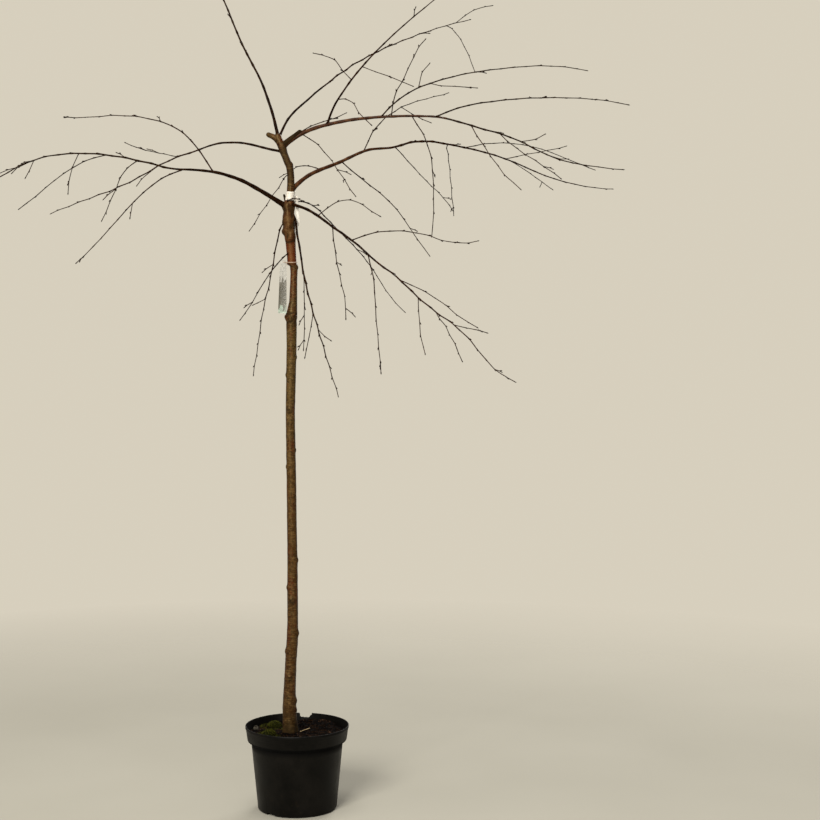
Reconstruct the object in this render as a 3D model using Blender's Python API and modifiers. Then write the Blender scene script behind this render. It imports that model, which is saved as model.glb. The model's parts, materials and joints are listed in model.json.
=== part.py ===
"""Potted silver birch: a weeping birch grafted on an upright stem, bare of leaves, in a nursery pot.

Metres, +Z up. The pot stands on its underside at Z = 0 with its centre on the origin.
+X is the right of the tree as it is looked at, and -Y is its front.
"""

import math
import random
from collections import defaultdict
from typing import NamedTuple

import bmesh
import bpy
from mathutils import Vector

MM = 0.001

# Gap between solids that touch on the real tree
GAP = 0.35 * MM

# Pot
POT_HEIGHT = 0.199
RIM_RADIUS = 0.1226
BAND_FOOT_RADIUS = 0.1177
BAND_FOOT_HEIGHT = 0.165
NECK_RADIUS = 0.1082
NECK_HEIGHT = 0.157
BASE_RADIUS = 0.0935
BASE_CHAMFER = 0.003
POT_WALL = 0.0020
POT_FLOOR = 0.0040
POT_SIDES = 64

# The piece broken out of the back of the rim, seen from the front
RIM_GAP_TOP = (-0.003, 0.030)
RIM_GAP_BOTTOM = (0.000, 0.022)
RIM_GAP_DEPTH = 0.011

# Drainage notches where the wall meets the base
NOTCH_BEARINGS = (111, 231, 351)
NOTCH_WIDTH = 0.024
NOTCH_HEIGHT = 0.006
NOTCH_DEPTH = 0.012

# Compost and what lies on it: centre X, centre Y, width, depth, height
COMPOST_TOP = 0.184
COMPOST_SHOULDER = 0.004
MOSS_TUFTS = {
    "moss_back": (-0.057, 0.048, 0.038, 0.034, 0.012),
    "moss_front": (-0.064, -0.030, 0.034, 0.030, 0.010),
}
STONE = (-0.099, 0.020, 0.015, 0.012, 0.010)

# Trunk from its flat foot on the compost to the fork: height, sideways, towards the back, across
TRUNK_RINGS = (
    (0.1844, -0.015, -0.020, 0.0400),
    (0.196, -0.0155, -0.020, 0.0355),
    (0.216, -0.016, -0.0195, 0.0335),
    (0.244, -0.017, -0.019, 0.0325),
    (0.287, -0.016, -0.018, 0.0285),
    (0.358, -0.0130, -0.017, 0.0268),
    (0.405, -0.0095, -0.0165, 0.0268),
    (0.453, -0.0085, -0.0155, 0.0252),
    (0.500, -0.0087, -0.015, 0.0252),
    (0.595, -0.0085, -0.0135, 0.0238),
    (0.690, -0.010, -0.012, 0.0226),
    (0.784, -0.0105, -0.0105, 0.0225),
    (0.878, -0.012, -0.009, 0.0220),
    (0.943, -0.0125, -0.008, 0.0218),
    (1.018, -0.011, -0.0065, 0.0225),
    (1.100, -0.009, -0.0055, 0.0234),
    (1.150, -0.0092, -0.0045, 0.0248),
    (1.170, -0.0090, -0.0045, 0.0258),
    (1.187, -0.0070, -0.004, 0.0222),
    (1.201, -0.0050, -0.004, 0.0188),
    (1.229, -0.0044, -0.0035, 0.0172),
    (1.271, -0.0030, -0.0025, 0.0164),
    (1.282, -0.0034, -0.0025, 0.0174),
    (1.289, -0.0075, -0.0025, 0.0212),
    (1.322, -0.0097, -0.002, 0.0222),
    (1.345, -0.0110, -0.0015, 0.0236),
    (1.364, -0.0130, -0.001, 0.0272),
    (1.387, -0.0142, -0.001, 0.0288),
    (1.408, -0.0142, 0.0, 0.0255),
    (1.424, -0.0138, 0.0, 0.0272),
    (1.436, -0.0122, 0.0, 0.0212),
    (1.450, -0.0105, 0.0, 0.0184),
    (1.473, -0.0097, 0.0, 0.0172),
    (1.496, -0.0098, 0.0, 0.0164),
    (1.515, -0.0120, 0.0, 0.0168),
    (1.530, -0.0190, 0.0, 0.0166),
    (1.548, -0.0258, 0.0, 0.0168),
    (1.565, -0.0315, 0.0, 0.0180),
    (1.579, -0.0375, 0.0, 0.0154),
    (1.591, -0.0405, 0.0, 0.0124),
)
TRUNK_SIDES = 16

# Knots and bumps on the trunk: height, bearing, across
KNOTS = (
    (0.317, 262, 0.008),
    (0.380, 185, 0.009),
    (0.422, 350, 0.011),
    (0.498, 250, 0.008),
    (0.530, 190, 0.008),
    (0.595, 355, 0.008),
    (0.660, 95, 0.009),
    (0.815, 185, 0.007),
    (0.854, 0, 0.007),
    (1.050, 80, 0.009),
    (1.165, 170, 0.012),
    (1.282, 350, 0.008),
    (1.364, 185, 0.012),
    (1.395, 60, 0.012),
    (1.521, 345, 0.007),
)

# Grafting tape round the head of the trunk, and its loose tail
TAPE_HEIGHTS = (1.4372, 1.4574)
TAPE_THICKNESS = 0.0008
TAIL_LENGTH = 0.070
TAIL_WIDTH = 0.006
TAIL_LEAN = 4.5
TAIL_BACK = 0.003

# Plant label: a thin tie round the trunk over the graft, through a hole in a narrow tag
TIE_HEIGHT = 1.2935
TIE_RADIUS = 0.0007
TAG_OUTLINE = (
    (-0.0055, 0.005),
    (0.0055, 0.005),
    (0.0080, -0.024),
    (0.0098, -0.119),
    (-0.0098, -0.119),
    (-0.0080, -0.024),
)
TAG_THICKNESS = 0.0008
TAG_PLACE = (-0.0270, -0.0130)
TAG_HOLE_RADIUS = 0.0026
TAG_LEAN = 1.5

# Twigs
BUD_SPACING = 0.030
ZIGZAG = 5
TWIG_CHANCE = 0.16
TWIG_LENGTHS = (0.015, 0.045)
TWIG_THICKNESS = (1.8, 1.2)
TWIG_FORK = (30, 60)
TWIG_RISE = (0, 30)
TWIG_STEEPNESS = 0.7
TWIG_DROOP = 25
TWIG_CLEARANCE = 1.0 * MM
SAMPLE_SPACING = 0.004
CELL = 0.012


class Limb(NamedTuple):
    """A bough or shoot: where it leaves its parent, how it runs, and its thickness in mm."""

    name: str
    parent: str
    at: float
    heading: float
    turn: float
    pitches: tuple
    length: float
    thick: float
    tip: float


# Cut stubs that belong to the trunk. For the trunk's own limbs, at is the height they leave it
STUBS = (
    Limb("stub_right", "trunk", 1.562, 352, 0, (38, 36), 0.054, 13.0, 11.5),
    Limb("stub_left", "trunk", 1.572, 182, 0, (50, 15), 0.032, 13.0, 10.5),
    Limb("stub_low", "trunk", 1.424, 185, 0, (50, 80), 0.028, 6.5, 5.0),
)

BOUGHS = (
    Limb("bough_top", "trunk", 1.58, 156, -4, (78, 70, 65), 0.16, 7.6, 5.0),
    Limb("bough_back_top", "trunk", 1.58, 52, -4, (64, 35, 35), 0.20, 5.6, 3.8),
    Limb("bough_left_low", "trunk", 1.420, 196, -2, (30, 30, 10, -5), 0.28, 11.0, 4.4),
    Limb("bough_left_high", "trunk", 1.55, 150, 4, (10, 15, 0, -20), 0.24, 5.8, 3.8),
    Limb("bough_right_high", "trunk", 1.56, 350, 2, (40, 15, 5, 0, -5), 0.40, 9.4, 4.2),
    Limb("bough_rising", "bough_right_high", 0.3, 326, 6, (70, 50), 0.08, 5.2, 4.2),
    Limb("bough_right_mid", "trunk", 1.46, 32, 0, (45, 20, 25, -5), 0.30, 9.6, 5.2),
    Limb("bough_right_low", "trunk", 1.43, 322, 2, (-10, -30, -30, -40), 0.29, 6.8, 4.2),
    Limb("bough_front", "trunk", 1.42, 350, -60, (-45, -85, -70, -70), 0.13, 5.6, 4.4),
)

# Each mass of twigs is its stem and the side shoots that fork from it
MASSES = {
    "twigs_top": (
        Limb("stem", "bough_top", 1, 152, -14, (55, 65, 55, 35), 0.45, 5.0, 2.0),
        Limb("left", "stem", 0.60, 196, -10, (40, 5, -10), 0.20, 2.4, 1.4),
        Limb("front", "stem", 0.70, 262, 12, (50, 25, -10), 0.20, 2.4, 1.4),
        Limb("right", "stem", 0.64, 24, 10, (55, 35, 5, -10), 0.26, 2.4, 1.4),
        Limb("back", "stem", 0.80, 84, -8, (30, 5, -25), 0.18, 2.2, 1.4),
        Limb("end", "stem", 0.86, 190, 0, (20, 0, -20), 0.13, 2.0, 1.4),
    ),
    "twigs_back_top": (
        Limb("stem", "bough_back_top", 1, 48, -10, (35, 25, 20, 15), 0.55, 3.8, 1.8),
        Limb("down", "stem", 0.84, 66, -10, (0, -35, -55), 0.20, 2.2, 1.4),
        Limb("up", "stem", 0.90, 14, 10, (45, 25, 5), 0.12, 2.0, 1.4),
    ),
    "twigs_left_low": (
        Limb("stem", "bough_left_low", 1, 194, -8, (15, 10, -5, -30, -35), 0.51, 4.4, 2.0),
        Limb("down", "stem", 0.18, 166, 10, (-20, -65, -65, -65), 0.17, 2.4, 1.4),
        Limb("out", "stem", 0.32, 222, -8, (-10, -30, -40, -35), 0.26, 2.4, 1.4),
        Limb("short", "stem", 0.44, 160, 10, (-50, -75, -85), 0.10, 2.0, 1.4),
        Limb("end", "stem", 0.64, 215, 0, (-65, -60), 0.05, 1.8, 1.2),
        Limb("tip", "stem", 0.66, 166, 8, (-20, -15, -25), 0.11, 1.8, 1.2),
    ),
    "twigs_left_rising": (
        Limb("stem", "bough_left_low", 0.7, 168, 10, (60, 50, 20, 5, -5, 5), 0.41, 3.4, 1.6),
    ),
    "twigs_left_weeping": (
        Limb("stem", "bough_left_low", 0.96, 224, -8, (-15, -35, -45, -45, -40), 0.36, 3.0, 1.6),
        Limb("down", "stem", 0.44, 250, 0, (-75, -65, -75), 0.04, 1.8, 1.2),
    ),
    "twigs_left_high": (
        Limb("stem", "bough_left_high", 1, 154, 6, (-10, -25, -15, -20), 0.46, 3.8, 1.8),
        Limb("over", "stem", 0.14, 128, 10, (10, 10, 20), 0.24, 2.0, 1.4),
        Limb("under", "stem", 0.26, 190, 0, (-30, -55), 0.08, 1.8, 1.2),
    ),
    "twigs_rising": (
        Limb("stem", "bough_rising", 1, 332, 12, (50, 40, 35, 35), 0.40, 4.2, 1.6),
        Limb("over", "stem", 0.1, 215, -10, (40, 50, 15, 0), 0.12, 2.0, 1.4),
        Limb("out", "stem", 0.2, 354, 6, (-20, -20, -25), 0.13, 2.0, 1.4),
    ),
    "twigs_rising_under": (
        Limb("stem", "bough_rising", 0.8, 312, 8, (10, -50, -30), 0.14, 2.2, 1.4),
    ),
    "twigs_stub": (
        Limb("stem", "stub_right", 0.9, 12, 0, (40, 20, 20, 25), 0.13, 2.6, 1.6),
    ),
    "twigs_right_front": (
        Limb("stem", "bough_right_high", 0.62, 330, 10, (45, 15, 5, 0, -15), 0.53, 3.4, 1.6),
        Limb("up", "stem", 0.22, 20, 10, (90, 65, 25), 0.07, 2.0, 1.4),
        Limb("low", "stem", 0.28, 322, 10, (-15, -5, -10), 0.13, 2.0, 1.4),
    ),
    "twigs_right_up": (
        Limb("stem", "bough_right_high", 0.68, 24, 8, (90, 60, 65, 45), 0.21, 2.6, 1.6),
    ),
    "twigs_right_hanging": (
        Limb("stem", "bough_right_high", 0.8, 306, 10, (-40, -55, -85, -90, -100), 0.31, 2.6, 1.6),
    ),
    "twigs_right_far": (
        Limb("stem", "bough_right_high", 0.94, 330, 12, (20, 5, 0, -5, -15), 0.47, 3.4, 1.6),
    ),
    "twigs_right_high": (
        Limb("stem", "bough_right_high", 1, 352, 4, (-20, -15, -30, -10, -5), 0.43, 4.2, 1.8),
        Limb("down", "stem", 0.14, 320, 4, (-55, -50, -35), 0.21, 2.4, 1.4),
        Limb("front", "stem", 0.3, 322, 8, (-40, -30, -35), 0.20, 2.2, 1.4),
        Limb("over", "stem", 0.42, 20, 0, (5, 30), 0.07, 1.8, 1.2),
        Limb("end", "stem", 0.58, 22, 0, (-20, 5), 0.06, 1.6, 1.2),
    ),
    "twigs_inner_weeping": (
        Limb("stem", "bough_right_high", 0.14, 316, 0, (-20, -40, -50, -45), 0.24, 2.4, 1.5),
    ),
    "twigs_mid_rising": (
        Limb("stem", "bough_right_mid", 0.74, 50, -4, (65, 30, 15, 15), 0.37, 2.8, 1.6),
        Limb("side", "stem", 0.5, 20, 0, (-30, -25, -15), 0.09, 2.0, 1.4),
    ),
    "twigs_back_left": (
        Limb("stem", "bough_right_mid", 0.32, 118, 26, (15, 5, -40, -45, -50), 0.36, 2.6, 1.6),
    ),
    "twigs_mid_weeping": (
        Limb("stem", "bough_right_mid", 0.52, 14, 8, (-40, -35, -55, -50), 0.32, 2.8, 1.6),
    ),
    "twigs_right_mid": (
        Limb("stem", "bough_right_mid", 1, 32, -8, (25, -5, -10, -20, -10, 0), 0.67, 5.2, 1.8),
        Limb("under", "stem", 0.02, 54, 0, (-30, -30, -25, -40), 0.29, 2.4, 1.4),
        Limb("fork", "stem", 0.32, 36, -4, (15, 0, -15, -15), 0.43, 2.4, 1.4),
        Limb("side", "stem", 0.5, 14, 0, (15, 10, 15), 0.17, 2.2, 1.4),
        Limb("low", "stem", 0.52, 50, 0, (-15, -20, -20), 0.20, 2.0, 1.4),
        Limb("back", "stem", 0.24, 88, -10, (5, -30, -50, -60), 0.30, 2.4, 1.4),
    ),
    "twigs_low_side": (
        Limb("stem", "bough_right_low", 0.32, 10, -6, (45, 25, -35, -30), 0.17, 2.4, 1.5),
    ),
    "twigs_low_hanging": (
        Limb("stem", "bough_right_low", 0.5, 292, 6, (-80, -65, -60, -95), 0.23, 2.6, 1.5),
    ),
    "twigs_low_out": (
        Limb("stem", "bough_right_low", 0.72, 356, 4, (25, 0, -20, 15), 0.30, 2.8, 1.5),
    ),
    "twigs_low_curtain": (
        Limb("stem", "bough_right_low", 0.92, 296, 8, (-50, -85, -80, -80), 0.28, 2.8, 1.5),
    ),
    "twigs_right_low": (
        Limb("stem", "bough_right_low", 1, 324, 6, (-25, -40, -30, -50, -20), 0.46, 4.2, 1.6),
        Limb("over", "stem", 0.18, 352, 0, (-20, -30, -40, -25), 0.21, 2.2, 1.4),
        Limb("hang", "stem", 0.32, 290, 0, (-85, -75, -40), 0.14, 2.0, 1.4),
        Limb("down", "stem", 0.44, 296, 0, (-30, -40, -50), 0.17, 1.8, 1.2),
        Limb("side", "stem", 0.56, 354, 0, (-10, -15), 0.08, 1.8, 1.2),
    ),
    "twigs_back_right": (
        Limb("stem", "trunk", 1.43, 66, -8, (15, -25, -25, -40, -25), 0.65, 3.4, 1.6),
    ),
    "twigs_back": (
        Limb("stem", "trunk", 1.41, 122, -6, (-30, -70, -60, -70, -65), 0.45, 3.4, 1.6),
        Limb("side", "stem", 0.54, 170, 0, (-20, -30), 0.04, 1.8, 1.2),
    ),
    "twigs_front_left": (
        Limb("stem", "trunk", 1.32, 238, -6, (-25, -40, -50, -40), 0.25, 3.0, 1.6),
    ),
    "twigs_front": (
        Limb("stem", "bough_front", 1, 290, 4, (-60, -50, -50, -45), 0.40, 4.4, 1.6),
        Limb("down", "stem", 0.04, 236, 10, (-100, -90, -90, -80), 0.20, 2.2, 1.4),
        Limb("right", "stem", 0.5, 322, 0, (-35, -30), 0.05, 1.8, 1.2),
        Limb("left", "stem", 0.38, 238, 0, (-75, -70, -70), 0.11, 2.0, 1.3),
    ),
}

# Finishes: colour, roughness, metallic
FINISHES = {
    "pot_plastic": ((0.018, 0.018, 0.017), 0.48, 0.0),
    "compost": ((0.022, 0.014, 0.010), 0.95, 0.0),
    "moss": ((0.060, 0.090, 0.020), 0.95, 0.0),
    "stone": ((0.200, 0.190, 0.180), 0.80, 0.0),
    "trunk_bark": ((0.125, 0.075, 0.038), 0.75, 0.0),
    "bough_bark": ((0.075, 0.038, 0.024), 0.65, 0.0),
    "twig_bark": ((0.060, 0.036, 0.026), 0.65, 0.0),
    "grafting_tape": ((0.780, 0.770, 0.740), 0.45, 0.0),
    "label_plastic": ((0.330, 0.360, 0.310), 0.40, 0.0),
    "label_tie": ((0.700, 0.640, 0.560), 0.50, 0.0),
}


def clear_scene():
    for obj in list(bpy.data.objects):
        bpy.data.objects.remove(obj, do_unlink=True)


def new_collection(name):
    collection = bpy.data.collections.new(name)
    bpy.context.scene.collection.children.link(collection)
    return collection


def make_materials():
    materials = {}
    for name, (colour, roughness, metallic) in FINISHES.items():
        material = bpy.data.materials.new(name)
        material.use_nodes = True
        shader = material.node_tree.nodes["Principled BSDF"]
        shader.inputs["Base Color"].default_value = (*colour, 1)
        shader.inputs["Roughness"].default_value = roughness
        shader.inputs["Metallic"].default_value = metallic
        materials[name] = material
    return materials


def apply_modifiers(obj):
    """Keeps the shape that the object's modifiers give it, as a plain mesh."""
    graph = bpy.context.evaluated_depsgraph_get()
    mesh = bpy.data.meshes.new_from_object(obj.evaluated_get(graph))
    obj.modifiers.clear()
    obj.data = mesh


def boolean(target, operation, cutter):
    modifier = target.modifiers.new(operation.lower(), "BOOLEAN")
    modifier.operation = operation
    modifier.solver = "EXACT"
    modifier.object = cutter
    return modifier


def weld(mesh, distance=1e-6):
    shape = bmesh.new()
    shape.from_mesh(mesh)
    bmesh.ops.remove_doubles(shape, verts=shape.verts, dist=distance)
    bmesh.ops.recalc_face_normals(shape, faces=shape.faces)
    shape.to_mesh(mesh)
    shape.free()


def mesh_from_curve(obj):
    """Replaces a curve object by a closed mesh object of the same shape and name."""
    name = obj.name
    graph = bpy.context.evaluated_depsgraph_get()
    mesh = bpy.data.meshes.new_from_object(obj.evaluated_get(graph))
    weld(mesh)
    place = obj.matrix_world.copy()
    homes = list(obj.users_collection)
    bpy.data.objects.remove(obj, do_unlink=True)
    solid = bpy.data.objects.new(name, mesh)
    solid.matrix_world = place
    for home in homes:
        home.objects.link(solid)
    return solid


def polygon_section(sides):
    """A ring of this many sides and radius 1, which a curve takes as its section."""
    name = f"section_{sides}"
    if name in bpy.data.objects:
        return bpy.data.objects[name]
    curve = bpy.data.curves.new(name, "CURVE")
    spline = curve.splines.new("POLY")
    spline.points.add(sides - 1)
    for i, point in enumerate(spline.points):
        angle = 2 * math.pi * i / sides
        point.co = (math.cos(angle), math.sin(angle), 0, 1)
    spline.use_cyclic_u = True
    section = bpy.data.objects.new(name, curve)
    helpers.objects.link(section)
    return section


def tube(name, points, radii, sides, collection):
    """A closed tapering tube through the points."""
    curve = bpy.data.curves.new(name, "CURVE")
    curve.dimensions = "3D"
    curve.bevel_mode = "OBJECT"
    curve.bevel_object = polygon_section(sides)
    curve.use_fill_caps = True
    spline = curve.splines.new("POLY")
    spline.points.add(len(points) - 1)
    for control, place, radius in zip(spline.points, points, radii):
        control.co = (*place, 1)
        control.radius = radius
    obj = bpy.data.objects.new(name, curve)
    collection.objects.link(obj)
    return mesh_from_curve(obj)


def fuse(target, others):
    """Joins the others into the target with one Boolean and removes them."""
    if not others:
        return
    group = bpy.data.collections.new(target.name + "_pieces")
    for obj in others:
        group.objects.link(obj)
    modifier = target.modifiers.new("fuse", "BOOLEAN")
    modifier.operation = "UNION"
    modifier.operand_type = "COLLECTION"
    modifier.solver = "EXACT"
    modifier.collection = group
    apply_modifiers(target)
    for obj in others:
        bpy.data.objects.remove(obj, do_unlink=True)
    bpy.data.collections.remove(group)


def between(values, share):
    """The value at this share of the way through values spread evenly from first to last."""
    place = min(max(share, 0), 1) * (len(values) - 1)
    low = min(int(place), len(values) - 2)
    return values[low] + (values[low + 1] - values[low]) * (place - low)


def direction(heading, pitch):
    level = math.cos(math.radians(pitch))
    return Vector((
        level * math.cos(math.radians(heading)),
        level * math.sin(math.radians(heading)),
        math.sin(math.radians(pitch)),
    ))


def limb_points(key, start, heading, turn, pitches, length, zigzag):
    """Points from foot to tip, one at each bud, where the limb changes side a little."""
    dice = random.Random(key)
    count = max(2, round(length / BUD_SPACING))
    points = [Vector(start)]
    for i in range(count):
        share = (i + 0.5) / count
        sway = zigzag * dice.uniform(0.5, 1.2) * (1 if i % 2 else -1)
        step = direction(heading + turn * share + sway, between(pitches, share) + 0.4 * sway)
        points.append(points[-1] + step * (length / count))
    return points


def limb_radii(thick, tip, count):
    """Radii from foot to tip, in metres, for thicknesses in mm."""
    return [(thick + (tip - thick) * i / (count - 1)) * MM / 2 for i in range(count)]


def along(points, share):
    """The place at this share of the length from the first point to the last."""
    place = min(share, 1) * (len(points) - 1)
    low = min(int(place), len(points) - 2)
    return points[low].lerp(points[low + 1], place - low)


def trunk_ring(height):
    """The ring of the trunk at this height, between the two listed rings next to it."""
    for low, high in zip(TRUNK_RINGS, TRUNK_RINGS[1:]):
        if height <= high[0]:
            break
    share = (height - low[0]) / (high[0] - low[0])
    return [a + (b - a) * share for a, b in zip(low, high)]


def trunk_axis(height):
    """The middle of the trunk at this height."""
    level, x, y, _ = trunk_ring(height)
    return Vector((x, y, level))


def trunk_radius(height):
    return trunk_ring(height)[3] / 2


class Growth:
    """The lines and radii of all limbs, and the space that they already fill."""

    def __init__(self):
        self.lines = {}
        self.radii = {}
        self.filled = defaultdict(list)

    def start_of(self, limb, mass):
        if limb.parent == "trunk":
            return trunk_axis(limb.at)
        parent = f"{mass}.stem" if limb.parent == "stem" else limb.parent
        return along(self.lines[parent], limb.at)

    def add(self, limb, mass=""):
        key = f"{mass}.{limb.name}" if mass else limb.name
        zigzag = ZIGZAG if mass else 0.4 * ZIGZAG
        points = limb_points(
            key, self.start_of(limb, mass), limb.heading, limb.turn, limb.pitches, limb.length, zigzag
        )
        self.lines[key] = points
        self.radii[key] = limb_radii(limb.thick, limb.tip, len(points))
        self.fill(mass or limb.name, points, self.radii[key])
        return key

    def fill(self, node, points, radii):
        for place, radius in samples(points, radii):
            self.filled[cell_of(place)].append((place, radius, node))

    def is_free(self, node, points, radii):
        """Whether a twig of this node keeps clear of every other node's limbs."""
        for place, radius in samples(points, radii):
            for cell in cells_near(place):
                for other, width, owner in self.filled.get(cell, ()):
                    if owner != node and (other - place).length < radius + width + TWIG_CLEARANCE:
                        return False
        return True


def samples(points, radii):
    """Places close together along a limb, each with the limb's radius there."""
    for a, b, wide, narrow in zip(points, points[1:], radii, radii[1:]):
        count = max(1, math.ceil((b - a).length / SAMPLE_SPACING))
        for i in range(count + 1):
            yield a.lerp(b, i / count), wide + (narrow - wide) * i / count


def cell_of(place):
    return tuple(math.floor(value / CELL) for value in place)


def cells_near(place):
    x, y, z = cell_of(place)
    return ((x + i, y + j, z + k) for i in (-1, 0, 1) for j in (-1, 0, 1) for k in (-1, 0, 1))


def side_twigs(growth, mass, shoot):
    """Short twigs on a shoot, by chance at each bud, to either side by turns, where there is room."""
    key = f"{mass}.{shoot.name}"
    dice = random.Random(key + ".twigs")
    points = growth.lines[key]
    found = []
    for i in range(2, len(points) - 1):
        chance, fork, rise = dice.random(), dice.uniform(*TWIG_FORK), dice.uniform(*TWIG_RISE)
        length = dice.uniform(*TWIG_LENGTHS)
        if chance > TWIG_CHANCE:
            continue
        share = i / (len(points) - 1)
        heading = shoot.heading + shoot.turn * share + (fork if i % 2 else -fork)
        pitch = TWIG_STEEPNESS * between(shoot.pitches, share) + rise
        line = limb_points(
            f"{key}.{i}", points[i], heading, 0, (pitch, pitch - TWIG_DROOP), length, ZIGZAG
        )
        radii = limb_radii(*TWIG_THICKNESS, len(line))
        if growth.is_free(mass, line[1:], radii[1:]):
            growth.fill(mass, line, radii)
            found.append((f"{key}.{i}", line, radii))
    return found


def grow_crown():
    """All lines of the tree: stubs and boughs, then each mass, then the masses' side twigs."""
    growth = Growth()
    growth.fill("trunk", [Vector((x, y, z)) for z, x, y, _ in TRUNK_RINGS], [d / 2 for *_, d in TRUNK_RINGS])
    for limb in STUBS + BOUGHS:
        growth.add(limb)
    for mass, shoots in MASSES.items():
        for shoot in shoots:
            growth.add(shoot, mass)
    twigs = {}
    for mass, shoots in MASSES.items():
        twigs[mass] = [twig for shoot in shoots for twig in side_twigs(growth, mass, shoot)]
    return growth, twigs


def turned(name, profile, sides):
    """A body of revolution round +Z from its profile of radius and height."""
    mesh = bpy.data.meshes.new(name)
    obj = bpy.data.objects.new(name, mesh)
    model.objects.link(obj)
    shape = bmesh.new()
    corners = [shape.verts.new((radius, 0, height)) for radius, height in profile]
    for a, b in zip(corners, corners[1:]):
        shape.edges.new((a, b))
    shape.to_mesh(mesh)
    shape.free()
    screw = obj.modifiers.new("turn", "SCREW")
    screw.steps = sides
    screw.render_steps = sides
    screw.use_merge_vertices = True
    screw.merge_threshold = 0.00001
    screw.use_smooth_shade = False
    screw.use_normal_calculate = True
    return obj


def box_cutter(name, place, size, bearing=0.0):
    bpy.ops.mesh.primitive_cube_add(size=1, location=place, rotation=(0, 0, math.radians(bearing)))
    obj = bpy.context.object
    obj.name = name
    obj.scale = size
    move_to(obj, cutters)
    return obj


def move_to(obj, collection):
    for home in list(obj.users_collection):
        home.objects.unlink(obj)
    collection.objects.link(obj)


def rim_gap_cutter():
    """A block of the outline of the gap in the rim, set through the back wall."""
    top = POT_HEIGHT + 0.005
    bottom = POT_HEIGHT - RIM_GAP_DEPTH
    outline = (
        (RIM_GAP_TOP[0], top),
        (RIM_GAP_BOTTOM[0], bottom),
        (RIM_GAP_BOTTOM[1], bottom),
        (RIM_GAP_TOP[1], top),
    )
    curve = bpy.data.curves.new("cutter_rim_gap", "CURVE")
    curve.dimensions = "2D"
    curve.fill_mode = "BOTH"
    curve.extrude = 0.015
    spline = curve.splines.new("POLY")
    spline.points.add(len(outline) - 1)
    for control, (across, height) in zip(spline.points, outline):
        control.co = (across, height, 0, 1)
    spline.use_cyclic_u = True
    obj = bpy.data.objects.new("cutter_rim_gap", curve)
    obj.location = (0, RIM_RADIUS - 0.002, 0)
    obj.rotation_euler = (math.radians(90), 0, 0)
    cutters.objects.link(obj)
    bpy.context.view_layer.update()
    return mesh_from_curve(obj)


def inner_radius(height):
    """Radius of the pot's inner wall."""
    levels = (POT_FLOOR, NECK_HEIGHT, BAND_FOOT_HEIGHT, POT_HEIGHT)
    radii = (BASE_RADIUS, NECK_RADIUS, BAND_FOOT_RADIUS, RIM_RADIUS)
    for i in range(len(levels) - 2):
        if height <= levels[i + 1]:
            break
    else:
        i = len(levels) - 2
    share = (height - levels[i]) / (levels[i + 1] - levels[i])
    return radii[i] + (radii[i + 1] - radii[i]) * share - POT_WALL


def make_pot():
    profile = (
        (0, 0),
        (BASE_RADIUS - BASE_CHAMFER, 0),
        (BASE_RADIUS, BASE_CHAMFER),
        (NECK_RADIUS, NECK_HEIGHT),
        (BAND_FOOT_RADIUS, BAND_FOOT_HEIGHT),
        (RIM_RADIUS, POT_HEIGHT),
        (inner_radius(POT_HEIGHT), POT_HEIGHT),
        (inner_radius(BAND_FOOT_HEIGHT), BAND_FOOT_HEIGHT),
        (inner_radius(NECK_HEIGHT), NECK_HEIGHT),
        (inner_radius(POT_FLOOR), POT_FLOOR),
        (0, POT_FLOOR),
    )
    pot = turned("pot", profile, POT_SIDES)
    boolean(pot, "DIFFERENCE", rim_gap_cutter())
    for bearing in NOTCH_BEARINGS:
        angle = math.radians(bearing)
        place = (BASE_RADIUS * math.cos(angle), BASE_RADIUS * math.sin(angle), 0)
        size = (2 * NOTCH_DEPTH, NOTCH_WIDTH, 2 * NOTCH_HEIGHT)
        boolean(pot, "DIFFERENCE", box_cutter(f"cutter_notch_{bearing}", place, size, bearing))
    return pot


def make_compost():
    levels = (POT_FLOOR + GAP, NECK_HEIGHT, BAND_FOOT_HEIGHT, COMPOST_TOP - COMPOST_SHOULDER)
    wall = [(inner_radius(level) - 1.5 * GAP, level) for level in levels]
    edge = wall[-1][0] - COMPOST_SHOULDER
    profile = [(0, POT_FLOOR + GAP), *wall, (edge, COMPOST_TOP), (0, COMPOST_TOP)]
    return turned("compost", profile, POT_SIDES)


def make_lump(name, x, y, width, depth, height):
    """A low dome with a flat underside that rests on the compost."""
    bpy.ops.mesh.primitive_ico_sphere_add(subdivisions=3, radius=0.5, location=(x, y, COMPOST_TOP + GAP))
    lump = bpy.context.object
    lump.name = name
    lump.scale = (width, depth, 2 * height)
    move_to(lump, model)
    half = box_cutter(
        f"cutter_{name}", (x, y, COMPOST_TOP + GAP - height), (2 * width, 2 * depth, 2 * height)
    )
    boolean(lump, "DIFFERENCE", half)
    return lump


def trunk_tube(name, extra, collection):
    points = [Vector((x, y, z)) for z, x, y, _ in TRUNK_RINGS]
    radii = [across / 2 + extra for *_, across in TRUNK_RINGS]
    return tube(name, points, radii, TRUNK_SIDES, collection)


def make_trunk(growth):
    trunk = trunk_tube("trunk", 0, model)
    pieces = []
    for stub in STUBS:
        pieces.append(tube(stub.name, growth.lines[stub.name], growth.radii[stub.name], 10, helpers))
    for i, (height, bearing, across) in enumerate(KNOTS):
        side = direction(bearing, 0) * (trunk_radius(height) - 0.2 * across)
        bpy.ops.mesh.primitive_ico_sphere_add(
            subdivisions=2, radius=across / 2, location=trunk_axis(height) + side
        )
        knot = bpy.context.object
        knot.name = f"knot_{i}"
        knot.scale = (1, 1, 1.3)
        move_to(knot, helpers)
        pieces.append(knot)
    fuse(trunk, pieces)
    flatten_foot(trunk)
    return trunk


def flatten_foot(trunk):
    """Cuts the foot level, since the lowest ring stands square to a stem that leans a little."""
    foot = TRUNK_RINGS[0][0]
    x, y = TRUNK_RINGS[0][1:3]
    boolean(trunk, "DIFFERENCE", box_cutter("cutter_foot", (x, y, foot - 0.01), (0.1, 0.1, 0.021)))


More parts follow.
